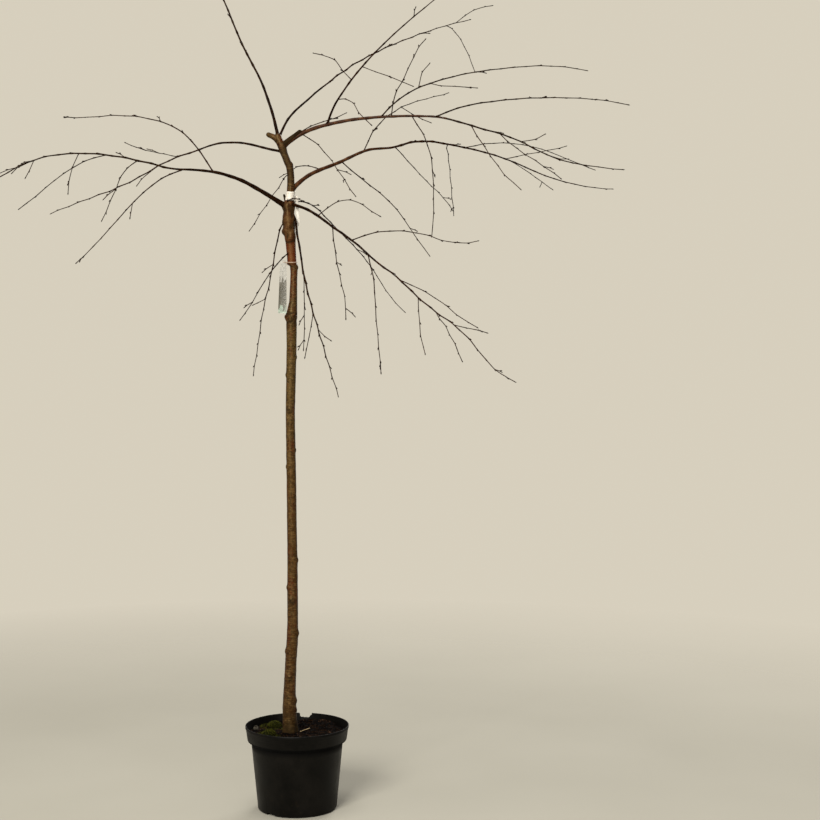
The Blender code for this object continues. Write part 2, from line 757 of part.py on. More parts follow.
def trunk_cutter(growth):
    """The trunk and its stubs, larger all round by the gap."""
    cutter = trunk_tube("cutter_trunk", 1.1 * GAP, cutters)
    pieces = []
    for stub in STUBS:
        points = growth.lines[stub.name]
        radii = [radius + 1.1 * GAP for radius in growth.radii[stub.name]]
        pieces.append(tube("cutter_" + stub.name, lengthened(points), radii, 10, helpers))
    fuse(cutter, pieces)
    return cutter


def lengthened(points):
    """The same line with its tip moved on by the gap."""
    end = (points[-1] - points[-2]).normalized()
    return points[:-1] + [points[-1] + end * GAP]


def limb_sides(thick):
    if thick > 5:
        return 8
    if thick > 3:
        return 6
    return 4 if thick > 2.5 else 3


def sunk(points, bearer):
    """The same line started 1 mm back inside the limb that it grows on from."""
    back = (bearer[-2] - bearer[-1]).normalized()
    return [points[0] + back * MM] + points


def make_bough(growth, limb, trunk_shape):
    points, radii = growth.lines[limb.name], growth.radii[limb.name]
    bough = tube(limb.name, points, radii, limb_sides(limb.thick), model)
    boolean(bough, "DIFFERENCE", trunk_shape if limb.parent == "trunk" else bough_cutters[limb.parent])
    wider = [radius + 1.2 * GAP for radius in radii]
    bough_cutters[limb.name] = tube(
        "cutter_" + limb.name, lengthened(points), wider, limb_sides(limb.thick), cutters
    )
    return bough


def make_mass(growth, mass, shoots, twigs, trunk_shape):
    """One solid of the mass's stem, side shoots and twigs, cut clear of the limb that bears it."""
    stem = shoots[0]
    points, radii = growth.lines[f"{mass}.stem"], growth.radii[f"{mass}.stem"]
    if stem.at == 1:
        points = sunk(points, growth.lines[stem.parent])
        radii = [radii[0]] + radii
    solid = tube(mass, points, radii, limb_sides(stem.thick), model)
    pieces = []
    for shoot in shoots[1:]:
        key = f"{mass}.{shoot.name}"
        pieces.append(tube(key, growth.lines[key], growth.radii[key], limb_sides(shoot.thick), helpers))
    for key, line, radii in twigs:
        pieces.append(tube(key, line, radii, 3, helpers))
    fuse(solid, pieces)
    on_trunk = stem.parent in ("trunk", "stub_right")
    boolean(solid, "DIFFERENCE", trunk_shape if on_trunk else bough_cutters[stem.parent])
    return solid


def make_tape(trunk_shape):
    """A sleeve round the trunk, with a loose tail of the same tape at its right."""
    low, high = TAPE_HEIGHTS
    sleeve = tube(
        "grafting_tape",
        [trunk_axis(low), trunk_axis((low + high) / 2), trunk_axis(high)],
        [trunk_radius(level) + TAPE_THICKNESS + 2 * GAP for level in (low, (low + high) / 2, high)],
        TRUNK_SIDES,
        model,
    )
    level = (low + high) / 2
    outer = trunk_axis(level).x + trunk_radius(level) + TAPE_THICKNESS + 2 * GAP
    top = Vector((outer - TAPE_THICKNESS + TAIL_WIDTH / 2, TAIL_BACK, level))
    bpy.ops.mesh.primitive_cube_add(size=1)
    tail = bpy.context.object
    tail.scale = (TAIL_WIDTH, TAPE_THICKNESS, TAIL_LENGTH)
    tail.rotation_euler = (0, math.radians(-TAIL_LEAN), 0)
    tail.location = top + direction(0, TAIL_LEAN - 90) * TAIL_LENGTH / 2
    move_to(tail, helpers)
    fuse(sleeve, [tail])
    boolean(sleeve, "DIFFERENCE", trunk_shape)
    return sleeve


def tie_points():
    """A loop close round the trunk that bulges out to pass through the tag's hole."""
    axis = trunk_axis(TIE_HEIGHT)
    near = trunk_radius(TIE_HEIGHT) + TIE_RADIUS + 2 * GAP
    reach = Vector((TAG_PLACE[0] - axis.x, TAG_PLACE[1] - axis.y, 0))
    bearing = math.atan2(reach.y, reach.x)
    points = []
    for i in range(24):
        angle = bearing + 2 * math.pi * i / 24
        bulge = max(0.0, math.cos(angle - bearing)) ** 8
        radius = near + (reach.length - near) * bulge
        points.append(Vector((
            axis.x + radius * math.cos(angle), axis.y + radius * math.sin(angle), TIE_HEIGHT
        )))
    return points


def make_tie():
    curve = bpy.data.curves.new("label_tie", "CURVE")
    curve.dimensions = "3D"
    curve.bevel_depth = TIE_RADIUS
    curve.bevel_resolution = 1
    spline = curve.splines.new("POLY")
    points = tie_points()
    spline.points.add(len(points) - 1)
    for control, place in zip(spline.points, points):
        control.co = (*place, 1)
    spline.use_cyclic_u = True
    obj = bpy.data.objects.new("label_tie", curve)
    model.objects.link(obj)
    return mesh_from_curve(obj)


def make_tag():
    """A narrow plate that hangs from the tie, with a round hole near its top edge."""
    curve = bpy.data.curves.new("label_tag", "CURVE")
    curve.dimensions = "2D"
    curve.fill_mode = "BOTH"
    curve.extrude = TAG_THICKNESS / 2
    spline = curve.splines.new("POLY")
    spline.points.add(len(TAG_OUTLINE) - 1)
    for control, (across, up) in zip(spline.points, TAG_OUTLINE):
        control.co = (across, up, 0, 1)
    spline.use_cyclic_u = True
    flat = bpy.data.objects.new("label_tag", curve)
    flat.location = (*TAG_PLACE, TIE_HEIGHT)
    flat.rotation_euler = (math.radians(90), math.radians(TAG_LEAN), 0)
    model.objects.link(flat)
    bpy.context.view_layer.update()
    tag = mesh_from_curve(flat)
    bpy.ops.mesh.primitive_cylinder_add(
        vertices=16,
        radius=TAG_HOLE_RADIUS,
        depth=4 * TAG_THICKNESS,
        location=(*TAG_PLACE, TIE_HEIGHT),
        rotation=(math.radians(90), 0, 0),
    )
    hole = bpy.context.object
    hole.name = "cutter_tag_hole"
    move_to(hole, cutters)
    boolean(tag, "DIFFERENCE", hole)
    return tag


def paint(obj, material):
    obj.data.materials.clear()
    obj.data.materials.append(material)


def make_tree(materials):
    growth, twigs = grow_crown()
    paint(make_trunk(growth), materials["trunk_bark"])
    trunk_shape = trunk_cutter(growth)
    for limb in BOUGHS:
        paint(make_bough(growth, limb, trunk_shape), materials["bough_bark"])
    for mass, shoots in MASSES.items():
        paint(make_mass(growth, mass, shoots, twigs[mass], trunk_shape), materials["twig_bark"])
    paint(make_tape(trunk_shape), materials["grafting_tape"])
    paint(make_tie(), materials["label_tie"])
    paint(make_tag(), materials["label_plastic"])


def main():
    materials = make_materials()
    paint(make_pot(), materials["pot_plastic"])
    paint(make_compost(), materials["compost"])
    for name, sizes in MOSS_TUFTS.items():
        paint(make_lump(name, *sizes), materials["moss"])
    paint(make_lump("stone", *STONE), materials["stone"])
    make_tree(materials)
    for obj in list(helpers.objects):
        bpy.data.objects.remove(obj, do_unlink=True)
    bpy.data.collections.remove(helpers)
    for obj in cutters.objects:
        obj.hide_render = True
        obj.display_type = "WIRE"


clear_scene()
model = new_collection("potted_silver_birch")
cutters = new_collection("cutters")
helpers = new_collection("helpers")
bough_cutters = {}
main()
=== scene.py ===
"""The looks of a potted silver birch: a weeping birch grafted on an upright stem, bare of leaves.

Metres, +Z up. The pot stands on Z = 0 with its centre on the origin. +X is the right of the tree as it is
looked at, and -Y is its front.
"""

import json
import logging
import math
import random
from collections import defaultdict
from collections.abc import Iterator, Sequence
from contextlib import contextmanager
from dataclasses import dataclass
from enum import Enum

import bmesh
import bpy
import numpy as np
from bpy.types import Material, Node, NodeSocket, NodeTree, Object
from mathutils import Matrix, Vector, noise

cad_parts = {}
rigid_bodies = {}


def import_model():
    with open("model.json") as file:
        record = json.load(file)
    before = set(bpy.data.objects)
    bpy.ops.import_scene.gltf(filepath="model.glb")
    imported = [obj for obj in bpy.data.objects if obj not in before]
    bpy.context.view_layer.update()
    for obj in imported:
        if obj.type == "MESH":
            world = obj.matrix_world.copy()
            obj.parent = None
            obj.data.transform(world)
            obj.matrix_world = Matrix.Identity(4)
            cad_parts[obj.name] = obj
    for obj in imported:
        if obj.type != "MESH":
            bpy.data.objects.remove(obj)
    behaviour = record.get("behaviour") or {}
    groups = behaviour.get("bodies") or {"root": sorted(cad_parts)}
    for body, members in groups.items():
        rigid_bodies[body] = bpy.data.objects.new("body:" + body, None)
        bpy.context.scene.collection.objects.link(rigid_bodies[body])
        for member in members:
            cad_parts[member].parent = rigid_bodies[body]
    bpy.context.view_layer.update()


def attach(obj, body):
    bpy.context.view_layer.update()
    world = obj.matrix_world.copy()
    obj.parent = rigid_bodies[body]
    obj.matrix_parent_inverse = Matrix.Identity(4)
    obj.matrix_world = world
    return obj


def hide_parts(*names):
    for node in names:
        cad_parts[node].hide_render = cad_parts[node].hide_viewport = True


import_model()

LOG = logging.getLogger("potted_silver_birch")
MM = 0.001
BODY = "root"

Colour = tuple[float, float, float]
Pairs = tuple[tuple[float, float], ...]


def shade(red: int, green: int, blue: int) -> Colour:
    """Turns a colour as the eye reads it, 0 to 255, into linear light, 0 to 1."""
    return tuple((value / 255) ** 2.2 for value in (red, green, blue))


def shades(*rows: tuple[float, int, int, int]) -> tuple[tuple[float, Colour], ...]:
    """Turns rows of a position and a colour as the eye reads it into the stops of a ramp."""
    return tuple((place, shade(*colour)) for place, *colour in rows)


class Graph:
    """A node tree under construction, with short ways to add nodes and join them."""

    def __init__(self, tree: NodeTree) -> None:
        """Takes the tree of a material or of a node group."""
        self.tree = tree

    def feed(self, node: Node, inputs: dict) -> None:
        """Joins output sockets to a node's inputs, or sets the inputs' own values.

        Args:
            node: The node.
            inputs: An output socket, a number, a vector or a colour for each input, by name or index.
        """
        for key, value in inputs.items():
            socket = node.inputs[key]
            if isinstance(value, NodeSocket):
                self.tree.links.new(value, socket)
            elif socket.type == "RGBA":
                socket.default_value = (*value, 1)
            else:
                socket.default_value = value

    def add(self, kind: str, inputs: dict | None = None, **settings: object) -> Node:
        """Adds a node.

        Args:
            kind: What follows ShaderNode in its type name.
            inputs: A value or an output socket for each input, by name or index.
            **settings: Properties of the node.

        Returns:
            The new node.
        """
        node = self.tree.nodes.new("ShaderNode" + kind)
        for key, value in settings.items():
            setattr(node, key, value)
        self.feed(node, inputs or {})
        return node

    def group(self, tree: NodeTree, *values: object) -> NodeSocket:
        """Adds a shared effect, whose inputs take these values in their order."""
        return self.add("Group", dict(enumerate(values)), node_tree=tree).outputs[0]

    def mix(self, mask: object, first: object, second: object) -> NodeSocket:
        """Mixes two colours: a mask of 0 gives the first, 1 the second."""
        return self.add("Mix", {0: mask, 6: first, 7: second}, data_type="RGBA").outputs[2]

    def math(self, operation: str, first: object, second: object) -> NodeSocket:
        """Adds a Math node and returns its value."""
        return self.add("Math", {0: first, 1: second}, operation=operation).outputs[0]

    def times(self, first: object, second: object) -> NodeSocket:
        """Multiplies two values."""
        return self.math("MULTIPLY", first, second)

    def noise(self, place: object, scale: object, detail: float, roughness: float = 0.5) -> NodeSocket:
        """Soft noise from 0 to 1."""
        inputs = {"Vector": place, "Scale": scale, "Detail": detail, "Roughness": roughness}
        return self.add("TexNoise", inputs).outputs["Fac"]

    def remap(
        self, value: object, low: object, high: object, start: float = 0, end: float = 1
    ) -> NodeSocket:
        """Stretches a value from the range low to high to the range start to end, and holds it there."""
        inputs = {"Value": value, "From Min": low, "From Max": high, "To Min": start, "To Max": end}
        return self.add("MapRange", inputs).outputs["Result"]

    def ramp(self, value: object, stops: Sequence[tuple[float, Colour]]) -> NodeSocket:
        """Gives a colour to each value.

        Args:
            value: The value's socket.
            stops: Values in rising order, and their colours.

        Returns:
            The colour's socket.
        """
        low, high = stops[0][0], stops[-1][0]
        node = self.add("ValToRGB", {"Fac": self.remap(value, low, high)})
        band = node.color_ramp
        for _ in range(len(stops) - 2):
            band.elements.new(0.5)
        for element, (place, colour) in zip(band.elements, stops):
            element.position = (place - low) / (high - low)
            element.color = (*colour, 1)
        return node.outputs["Color"]

    def attribute(self, name: str, output: str = "Fac") -> NodeSocket:
        """Reads one of a piece's own attributes."""
        return self.add("Attribute", attribute_name=name).outputs[output]

    def place(self) -> NodeSocket:
        """The point's place on the object."""
        return self.add("TexCoord").outputs["Object"]

    def height(self) -> NodeSocket:
        """The point's height above the ground."""
        return self.add("SeparateXYZ", {"Vector": self.place()}).outputs["Z"]

    def bump(self, height: object, strength: float, depth: float) -> NodeSocket:
        """Turns a height into a normal, where a height of 1 is this depth in metres."""
        return self.add("Bump", {"Height": height, "Strength": strength, "Distance": depth}).outputs[0]


def new_material(name: str) -> tuple[Material, Graph, Node]:
    """Starts a material.

    Args:
        name: Its name.

    Returns:
        The material, its graph and its shader.
    """
    material = bpy.data.materials.new(name)
    material.use_nodes = True
    graph = Graph(material.node_tree)
    return material, graph, material.node_tree.nodes["Principled BSDF"]


class Effects:
    """Node groups that several finishes share, each built once."""

    def __init__(self) -> None:
        """Builds the groups."""
        self.mottle = self.make_mottle()
        self.streaks = self.make_streaks()
        self.specks = self.make_specks()
        self.grain = self.make_grain()

    @staticmethod
    def start(name: str, *inputs: str) -> tuple[Graph, list[NodeSocket], Node]:
        """Starts a group with one output.

        Args:
            name: The group's name.
            *inputs: The names of the values that it takes after a place.

        Returns:
            The graph, the sockets of the place and the values, and the node that takes the output.
        """
        tree = bpy.data.node_groups.new(name, "ShaderNodeTree")
        for key in ("Vector", *inputs):
            kind = "NodeSocketVector" if key == "Vector" else "NodeSocketFloat"
            tree.interface.new_socket(name=key, in_out="INPUT", socket_type=kind)
        tree.interface.new_socket(name="Value", in_out="OUTPUT", socket_type="NodeSocketFloat")
        given = tree.nodes.new("NodeGroupInput").outputs
        return Graph(tree), [given[key] for key in ("Vector", *inputs)], tree.nodes.new("NodeGroupOutput")

    def make_mottle(self) -> NodeTree:
        """Soft uneven patches."""
        graph, (place, scale, low, high), result = self.start("soft_patches", "Scale", "Low", "High")
        graph.feed(result, {0: graph.remap(graph.noise(place, scale, 5.0, 0.62), low, high)})
        return graph.tree

    def make_streaks(self) -> NodeTree:
        """Patches drawn out along Z, or flattened where the stretch is under 1."""
        names = ("Scale", "Stretch", "Low", "High")
        graph, (place, scale, stretch, low, high), result = self.start("drawn_out_streaks", *names)
        factors = graph.add("CombineXYZ", {"X": 1.0, "Y": 1.0, "Z": graph.math("DIVIDE", 1.0, stretch)})
        sides = {0: place, 1: factors.outputs[0]}
        drawn = graph.add("VectorMath", sides, operation="MULTIPLY").outputs[0]
        graph.feed(result, {0: graph.remap(graph.noise(drawn, scale, 6.0, 0.65), low, high)})
        return graph.tree

    def make_specks(self) -> NodeTree:
        """Small scattered dots of one size, in a share of the cells only."""
        names = ("Scale", "Size", "Share")
        graph, (place, scale, size, share), result = self.start("scattered_specks", *names)
        cells = graph.add("TexVoronoi", {"Vector": place, "Scale": scale}).outputs
        dot = graph.remap(cells["Distance"], size, graph.times(size, 0.55))
        chance = graph.add("SeparateColor", {"Color": cells["Color"]}).outputs["Red"]
        graph.feed(result, {0: graph.times(dot, graph.math("LESS_THAN", chance, share))})
        return graph.tree

    def make_grain(self) -> NodeTree:
        """A fine uneven height, of two sizes of noise."""
        graph, (place, scale), result = self.start("fine_grain", "Scale")
        coarse = graph.noise(place, scale, 3.0)
        fine = graph.times(graph.noise(place, graph.times(scale, 4.3), 2.0), 0.35)
        graph.feed(result, {0: graph.math("ADD", coarse, fine)})
        return graph.tree


class RampBy(Enum):
    """What a bark's colour follows."""

    HEIGHT = "height"
    GIRTH = "girth"


@dataclass(frozen=True)
class BarkFinish:
    """Birch bark, whose colour follows the height up the stem or the girth of the limb."""

    name: str
    by: RampBy
    stops: tuple[tuple[float, Colour], ...]  # Heights in metres, or shares of a 12 mm girth
    dark: Colour  # Streaks, scars, and the painted shade in the stem's crotches, its collar's creases and under its graft's lip
    light: Colour  # Worn patches
    pore: Colour
    wearing: float = 0.6  # How pale the worn patches are, up to the light colour
    mottle_scale: float = 90.0
    blotch_stretch: float = 0.7  # Along the limb, where under 1 is across it
    blotching: float = 0.6  # How dark the blotches are, where the bark isn't smooth
    relief: float = 0.0006  # The depth of the fine grain, in metres
    roughness: tuple[float, float] = (0.6, 0.85)
    gloss: float = 0.03  # 0.5 is plain plastic
    sheen: Colour = (1.0, 1.0, 1.0)
    flush: Colour = shade(80, 36, 18)  # Reddish patches
    flushing: float = 0.0
    banding: float = 0.0  # How strongly pale bands show that lie across the limb

    def material(self, effects: Effects) -> Material:
        """Builds the material from the shared effects."""
        material, graph, shader = new_material(self.name)
        place = graph.attribute("bark_place", "Vector")
        aged = graph.math("SUBTRACT", 1.0, graph.attribute("smoothness"))
        reddish = graph.times(graph.group(effects.streaks, place, 38, 3, 0.5, 0.58), self.flushing)
        value = graph.height() if self.by is RampBy.HEIGHT else graph.attribute("girth")
        base = graph.mix(graph.times(aged, reddish), graph.ramp(value, self.stops), self.flush)
        patches = graph.group(effects.mottle, place, self.mottle_scale, 0.46, 0.6)
        colour = graph.mix(graph.times(patches, 0.75), base, graph.mix(self.wearing, base, self.light))
        weight = graph.times(aged, self.blotching)
        blotches = (1.8 * self.mottle_scale, self.blotch_stretch, 0.5, 0.58)
        for streaks in (blotches, (260, 4, 0.47, 0.66)):
            darker = graph.times(graph.group(effects.streaks, place, *streaks), weight)
            colour = graph.mix(darker, colour, self.dark)
        bands = graph.times(graph.group(effects.streaks, place, 52, 0.11, 0.54, 0.6), self.banding)
        colour = graph.mix(graph.times(aged, bands), colour, self.light)
        specks = graph.times(graph.group(effects.specks, place, 420, 0.32, 0.4), 0.7)
        pores = graph.math("MAXIMUM", graph.attribute("pores"), specks)
        colour = graph.mix(graph.times(pores, 0.6), colour, self.pore)
        # Scars, and on the stem the painted shade in its crotches, its collar's creases and under its graft's
        # lip
        scars_and_painted_shade = graph.attribute("scars_and_painted_shade")
        matt = graph.times(graph.math("POWER", scars_and_painted_shade, 0.5), 0.95)
        raised = graph.math("ADD", graph.group(effects.grain, place, 520), graph.times(pores, 0.4))
        graph.feed(shader, {
            "Base Color": graph.mix(scars_and_painted_shade, colour, self.dark),
            "Roughness": graph.math("MAXIMUM", matt, graph.remap(patches, 0, 1, *self.roughness)),
            "Specular IOR Level": self.gloss,
            "Specular Tint": self.sheen,
            "Normal": graph.bump(raised, 0.6, self.relief),
        })
        return material


@dataclass(frozen=True)
class PlasticFinish:
    """Moulded nursery plastic, scuffed where it is handled and dusty with dried soil, with a painted shadow
    under the rim band.
    """

    name: str
    colour: Colour
    scuff: Colour
    soil: Colour
    rim: float  # The height of the rim band's lower edge, above which scuffs are thick
    painted_rim_shadow: Colour = shade(4, 4, 3)  # Painted shadow under the rim band

    def material(self, effects: Effects) -> Material:
        """Builds the material from the shared effects."""
        material, graph, shader = new_material(self.name)
        place, height, rim = graph.place(), graph.height(), self.rim
        patches = graph.group(effects.mottle, place, 14, 0.42, 0.7)
        colour = graph.mix(graph.times(patches, 0.35), self.colour, self.scuff)
        scratches = graph.group(effects.streaks, place, 55, 0.06, 0.56, 0.72)
        rubbed = graph.times(scratches, graph.remap(height, rim - 0.01, rim, 0.25, 1.0))
        colour = graph.mix(graph.times(rubbed, 0.55), colour, self.scuff)
        splashes = graph.group(effects.mottle, place, 120, 0.6, 0.74)
        near_ground = graph.remap(height, 0.035, 0.0, 0.1, 0.6)
        colour = graph.mix(graph.times(splashes, near_ground), colour, self.soil)
        # A painted shadow under the rim band: near black and more matt, from 22 mm below the band's lower
        # edge to 3 mm above it
        below = graph.remap(height, rim - 0.022, rim - 0.006)
        painted_rim_shadow = graph.times(below, graph.remap(height, rim, rim + 0.003, 1.0, 0.0))
        matt = graph.remap(patches, 0.0, 1.0, 0.42, 0.62)
        worn = graph.math("ADD", graph.group(effects.grain, place, 700), graph.times(rubbed, -0.8))
        graph.feed(shader, {
            "Base Color": graph.mix(painted_rim_shadow, colour, self.painted_rim_shadow),
            "Roughness": graph.math("ADD", graph.times(painted_rim_shadow, 0.5), matt),
            "Specular IOR Level": 0.1,
            "Normal": graph.bump(worn, 0.35, 0.0003),
        })
        return material


@dataclass(frozen=True)
class EarthFinish:
    """Soil, crumbs, fibres, moss or straw: a dull colour with darker and lighter patches."""

    name: str
    colour: Colour
    patch: Colour
    scale: float = 150.0  # How fine the patches are
    roughness: float = 0.9

    def material(self, effects: Effects) -> Material:
        """Builds the material from the shared effects."""
        material, graph, shader = new_material(self.name)
        place = graph.place()
        patches = graph.group(effects.mottle, place, self.scale, 0.42, 0.62)
        grain = graph.group(effects.grain, place, 5 * self.scale)
        graph.feed(shader, {
            "Base Color": graph.mix(patches, self.colour, self.patch),
            "Roughness": self.roughness,
            "Specular IOR Level": 0.06,
            "Normal": graph.bump(grain, 0.7, 0.0006),
        })
        return material


@dataclass(frozen=True)
class FilmFinish:
    """Thin plastic with bands of colour by height, clear where it isn't printed, with painted glints where it
    is clear.
    """

    name: str
    bands: tuple[tuple[float, Colour], ...]
    clear_from: float  # The height above which the film is clear
    clear: float  # How much of the film shows where it is clear
    roughness: float
    ragged: float = 0.0  # How far the bands' edges run up and down, in metres
    dust: float = 0.25
    stain: Colour = shade(150, 140, 116)

    def material(self, effects: Effects) -> Material:
        """Builds the material from the shared effects."""
        material, graph, shader = new_material(self.name)
        place, edge = graph.place(), self.clear_from
        tears = graph.group(effects.streaks, place, 260, 5, 0.4, 0.6)
        ragged = graph.math("ADD", graph.height(), graph.times(tears, self.ragged))
        dust = graph.times(graph.group(effects.streaks, place, 420, 2.2, 0.46, 0.6), self.dust)
        # Painted glints: patches where the clear film shows more of its pale colour
        painted_glints = graph.group(effects.mottle, place, 260, 0.52, 0.6)
        film = graph.remap(painted_glints, 0.0, 1.0, self.clear, min(1.0, 2.6 * self.clear))
        printed = graph.remap(ragged, edge - 0.001, edge + 0.001, 1.0, 0.0)
        creases = graph.group(effects.streaks, place, 140, 0.3, 0.4, 0.7)
        graph.feed(shader, {
            "Base Color": graph.mix(dust, graph.ramp(ragged, self.bands), self.stain),
            "Roughness": self.roughness,
            "Alpha": graph.math("MAXIMUM", film, printed),
            "Normal": graph.bump(creases, 0.4, 0.0004),
        })
        return material


TRUNK_BARK = BarkFinish(
    name="stem_bark",
    by=RampBy.HEIGHT,
    stops=shades(
        (0.184, 34, 24, 11), (0.205, 42, 28, 12), (0.24, 50, 28, 9), (0.34, 56, 29, 8),
        (0.45, 60, 36, 13), (0.68, 66, 43, 19), (0.76, 69, 47, 22), (0.91, 72, 52, 26), (1.0, 73, 56, 29),
        (1.135, 76, 60, 31), (1.152, 56, 42, 20), (1.182, 60, 47, 22), (1.205, 53, 39, 18),
        (1.232, 49, 31, 14), (1.268, 52, 27, 13), (1.286, 46, 26, 12), (1.296, 86, 35, 12),
        (1.34, 74, 30, 11), (1.358, 62, 35, 16), (1.395, 66, 39, 20), (1.412, 44, 27, 14),
        (1.436, 36, 21, 10), (1.46, 50, 27, 10), (1.5, 42, 24, 10), (1.545, 40, 23, 10),
        (1.566, 55, 36, 17), (1.592, 85, 61, 32),
    ),
    dark=shade(24, 14, 7),
    light=shade(112, 88, 54),
    pore=shade(122, 98, 62),
    wearing=0.28,
    roughness=(0.42, 0.56),
    blotch_stretch=0.4,
    gloss=0.38,
    sheen=(1.0, 0.74, 0.34),
    flush=shade(74, 28, 12),
    flushing=0.75,
    blotching=0.72,
    banding=0.38,
)
RED_BARK = BarkFinish(
    name="red_bough_bark",
    by=RampBy.GIRTH,
    stops=shades((0.0, 34, 19, 8), (0.35, 54, 30, 14), (1.0, 78, 46, 24)),
    dark=shade(22, 12, 6),
    light=shade(113, 76, 46),
    pore=shade(138, 104, 77),
    mottle_scale=120.0,
    relief=0.0003,
    roughness=(0.38, 0.6),
    gloss=0.1,
)
DARK_BARK = BarkFinish(
    name="dark_bough_bark",
    by=RampBy.GIRTH,
    stops=shades((0.0, 26, 14, 5), (0.35, 29, 16, 6), (1.0, 35, 20, 8)),
    dark=shade(12, 6, 2),
    light=shade(60, 38, 19),
    pore=shade(100, 76, 50),
    mottle_scale=120.0,
    relief=0.0003,
    roughness=(0.42, 0.65),
)
TWIG_BARKS = (
    BarkFinish(
        name="grey_brown_twig_bark",
        by=RampBy.GIRTH,
        stops=shades((0.0, 28, 17, 7), (0.4, 34, 20, 8)),
        dark=shade(24, 15, 7),
        light=shade(72, 52, 30),
        pore=shade(107, 87, 65),
        mottle_scale=180.0,
        relief=0.0002,
        roughness=(0.42, 0.65),
    ),
    BarkFinish(
        name="red_brown_twig_bark",
        by=RampBy.GIRTH,
        stops=shades((0.0, 34, 18, 7), (0.4, 42, 22, 9)),
        dark=shade(25, 15, 7),
        light=shade(80, 52, 29),
        pore=shade(110, 87, 65),
        mottle_scale=180.0,
        relief=0.0002,
        roughness=(0.4, 0.6),
    ),
)
BUD_SCALES = (
    EarthFinish("brown_bud_scales", shade(30, 20, 14), shade(45, 30, 19), 600.0, 0.45),
    EarthFinish("dark_bud_scales", shade(22, 15, 10), shade(35, 23, 15), 600.0, 0.45),
)
POT_PLASTIC = PlasticFinish("pot_plastic", shade(14, 13, 11), shade(40, 37, 33), shade(66, 54, 37), 0.165)
SOIL = EarthFinish("compost_soil", shade(7, 4, 2), shade(14, 8, 4), 90.0, 0.95)
CRUMB_TINTS = (
    EarthFinish("crumb_black_brown", shade(8, 5, 3), shade(16, 10, 6), 200.0),
    EarthFinish("crumb_bark_red", shade(28, 16, 9), shade(13, 8, 5), 200.0),
    EarthFinish("crumb_tan", shade(73, 53, 35), shade(46, 32, 21), 200.0),
    EarthFinish("crumb_pinkish", shade(102, 78, 63), shade(69, 49, 36), 200.0),
)
FIBRE_TINTS = (
    EarthFinish("fibre_brown", shade(58, 40, 25), shade(38, 26, 17), 200.0),
    EarthFinish("fibre_straw", shade(188, 167, 128), shade(140, 118, 84), 200.0),
)
MOSS_TINTS = (
    EarthFinish("moss_olive", shade(56, 57, 17), shade(37, 39, 11), 300.0),
    EarthFinish("moss_bright", shade(84, 84, 36), shade(56, 57, 20), 300.0),
    EarthFinish("moss_dark", shade(28, 30, 10), shade(18, 19, 7), 300.0),
)
CHIP = EarthFinish("grey_chip", shade(78, 74, 66), shade(34, 31, 26), 260.0, 0.8)
# The loose tail hangs mostly below 1.434 m, where the tape is painted lighter than the sleeve: painted light
# that offsets the stem's shadow on it
TAPE_FILM = FilmFinish(
    "white_tape",
    shades((1.36, 226, 221, 210), (1.434, 222, 217, 206), (1.438, 212, 205, 192)),
    2.0, 1.0, 0.5,
)
TIE_PLASTIC = EarthFinish("tie_plastic", shade(206, 182, 160), shade(170, 140, 118), 300.0, 0.5)
LABEL_FILM = FilmFinish(
    "label_film",
    shades(
        (1.172, 182, 194, 178), (1.191, 164, 180, 162), (1.197, 104, 101, 88), (1.235, 96, 93, 81),
        (1.26, 112, 108, 96), (1.263, 190, 190, 182), (1.32, 198, 198, 190),
    ),
    1.2615, 0.2, 0.3, 0.016, 0.6, shade(58, 56, 48),
)


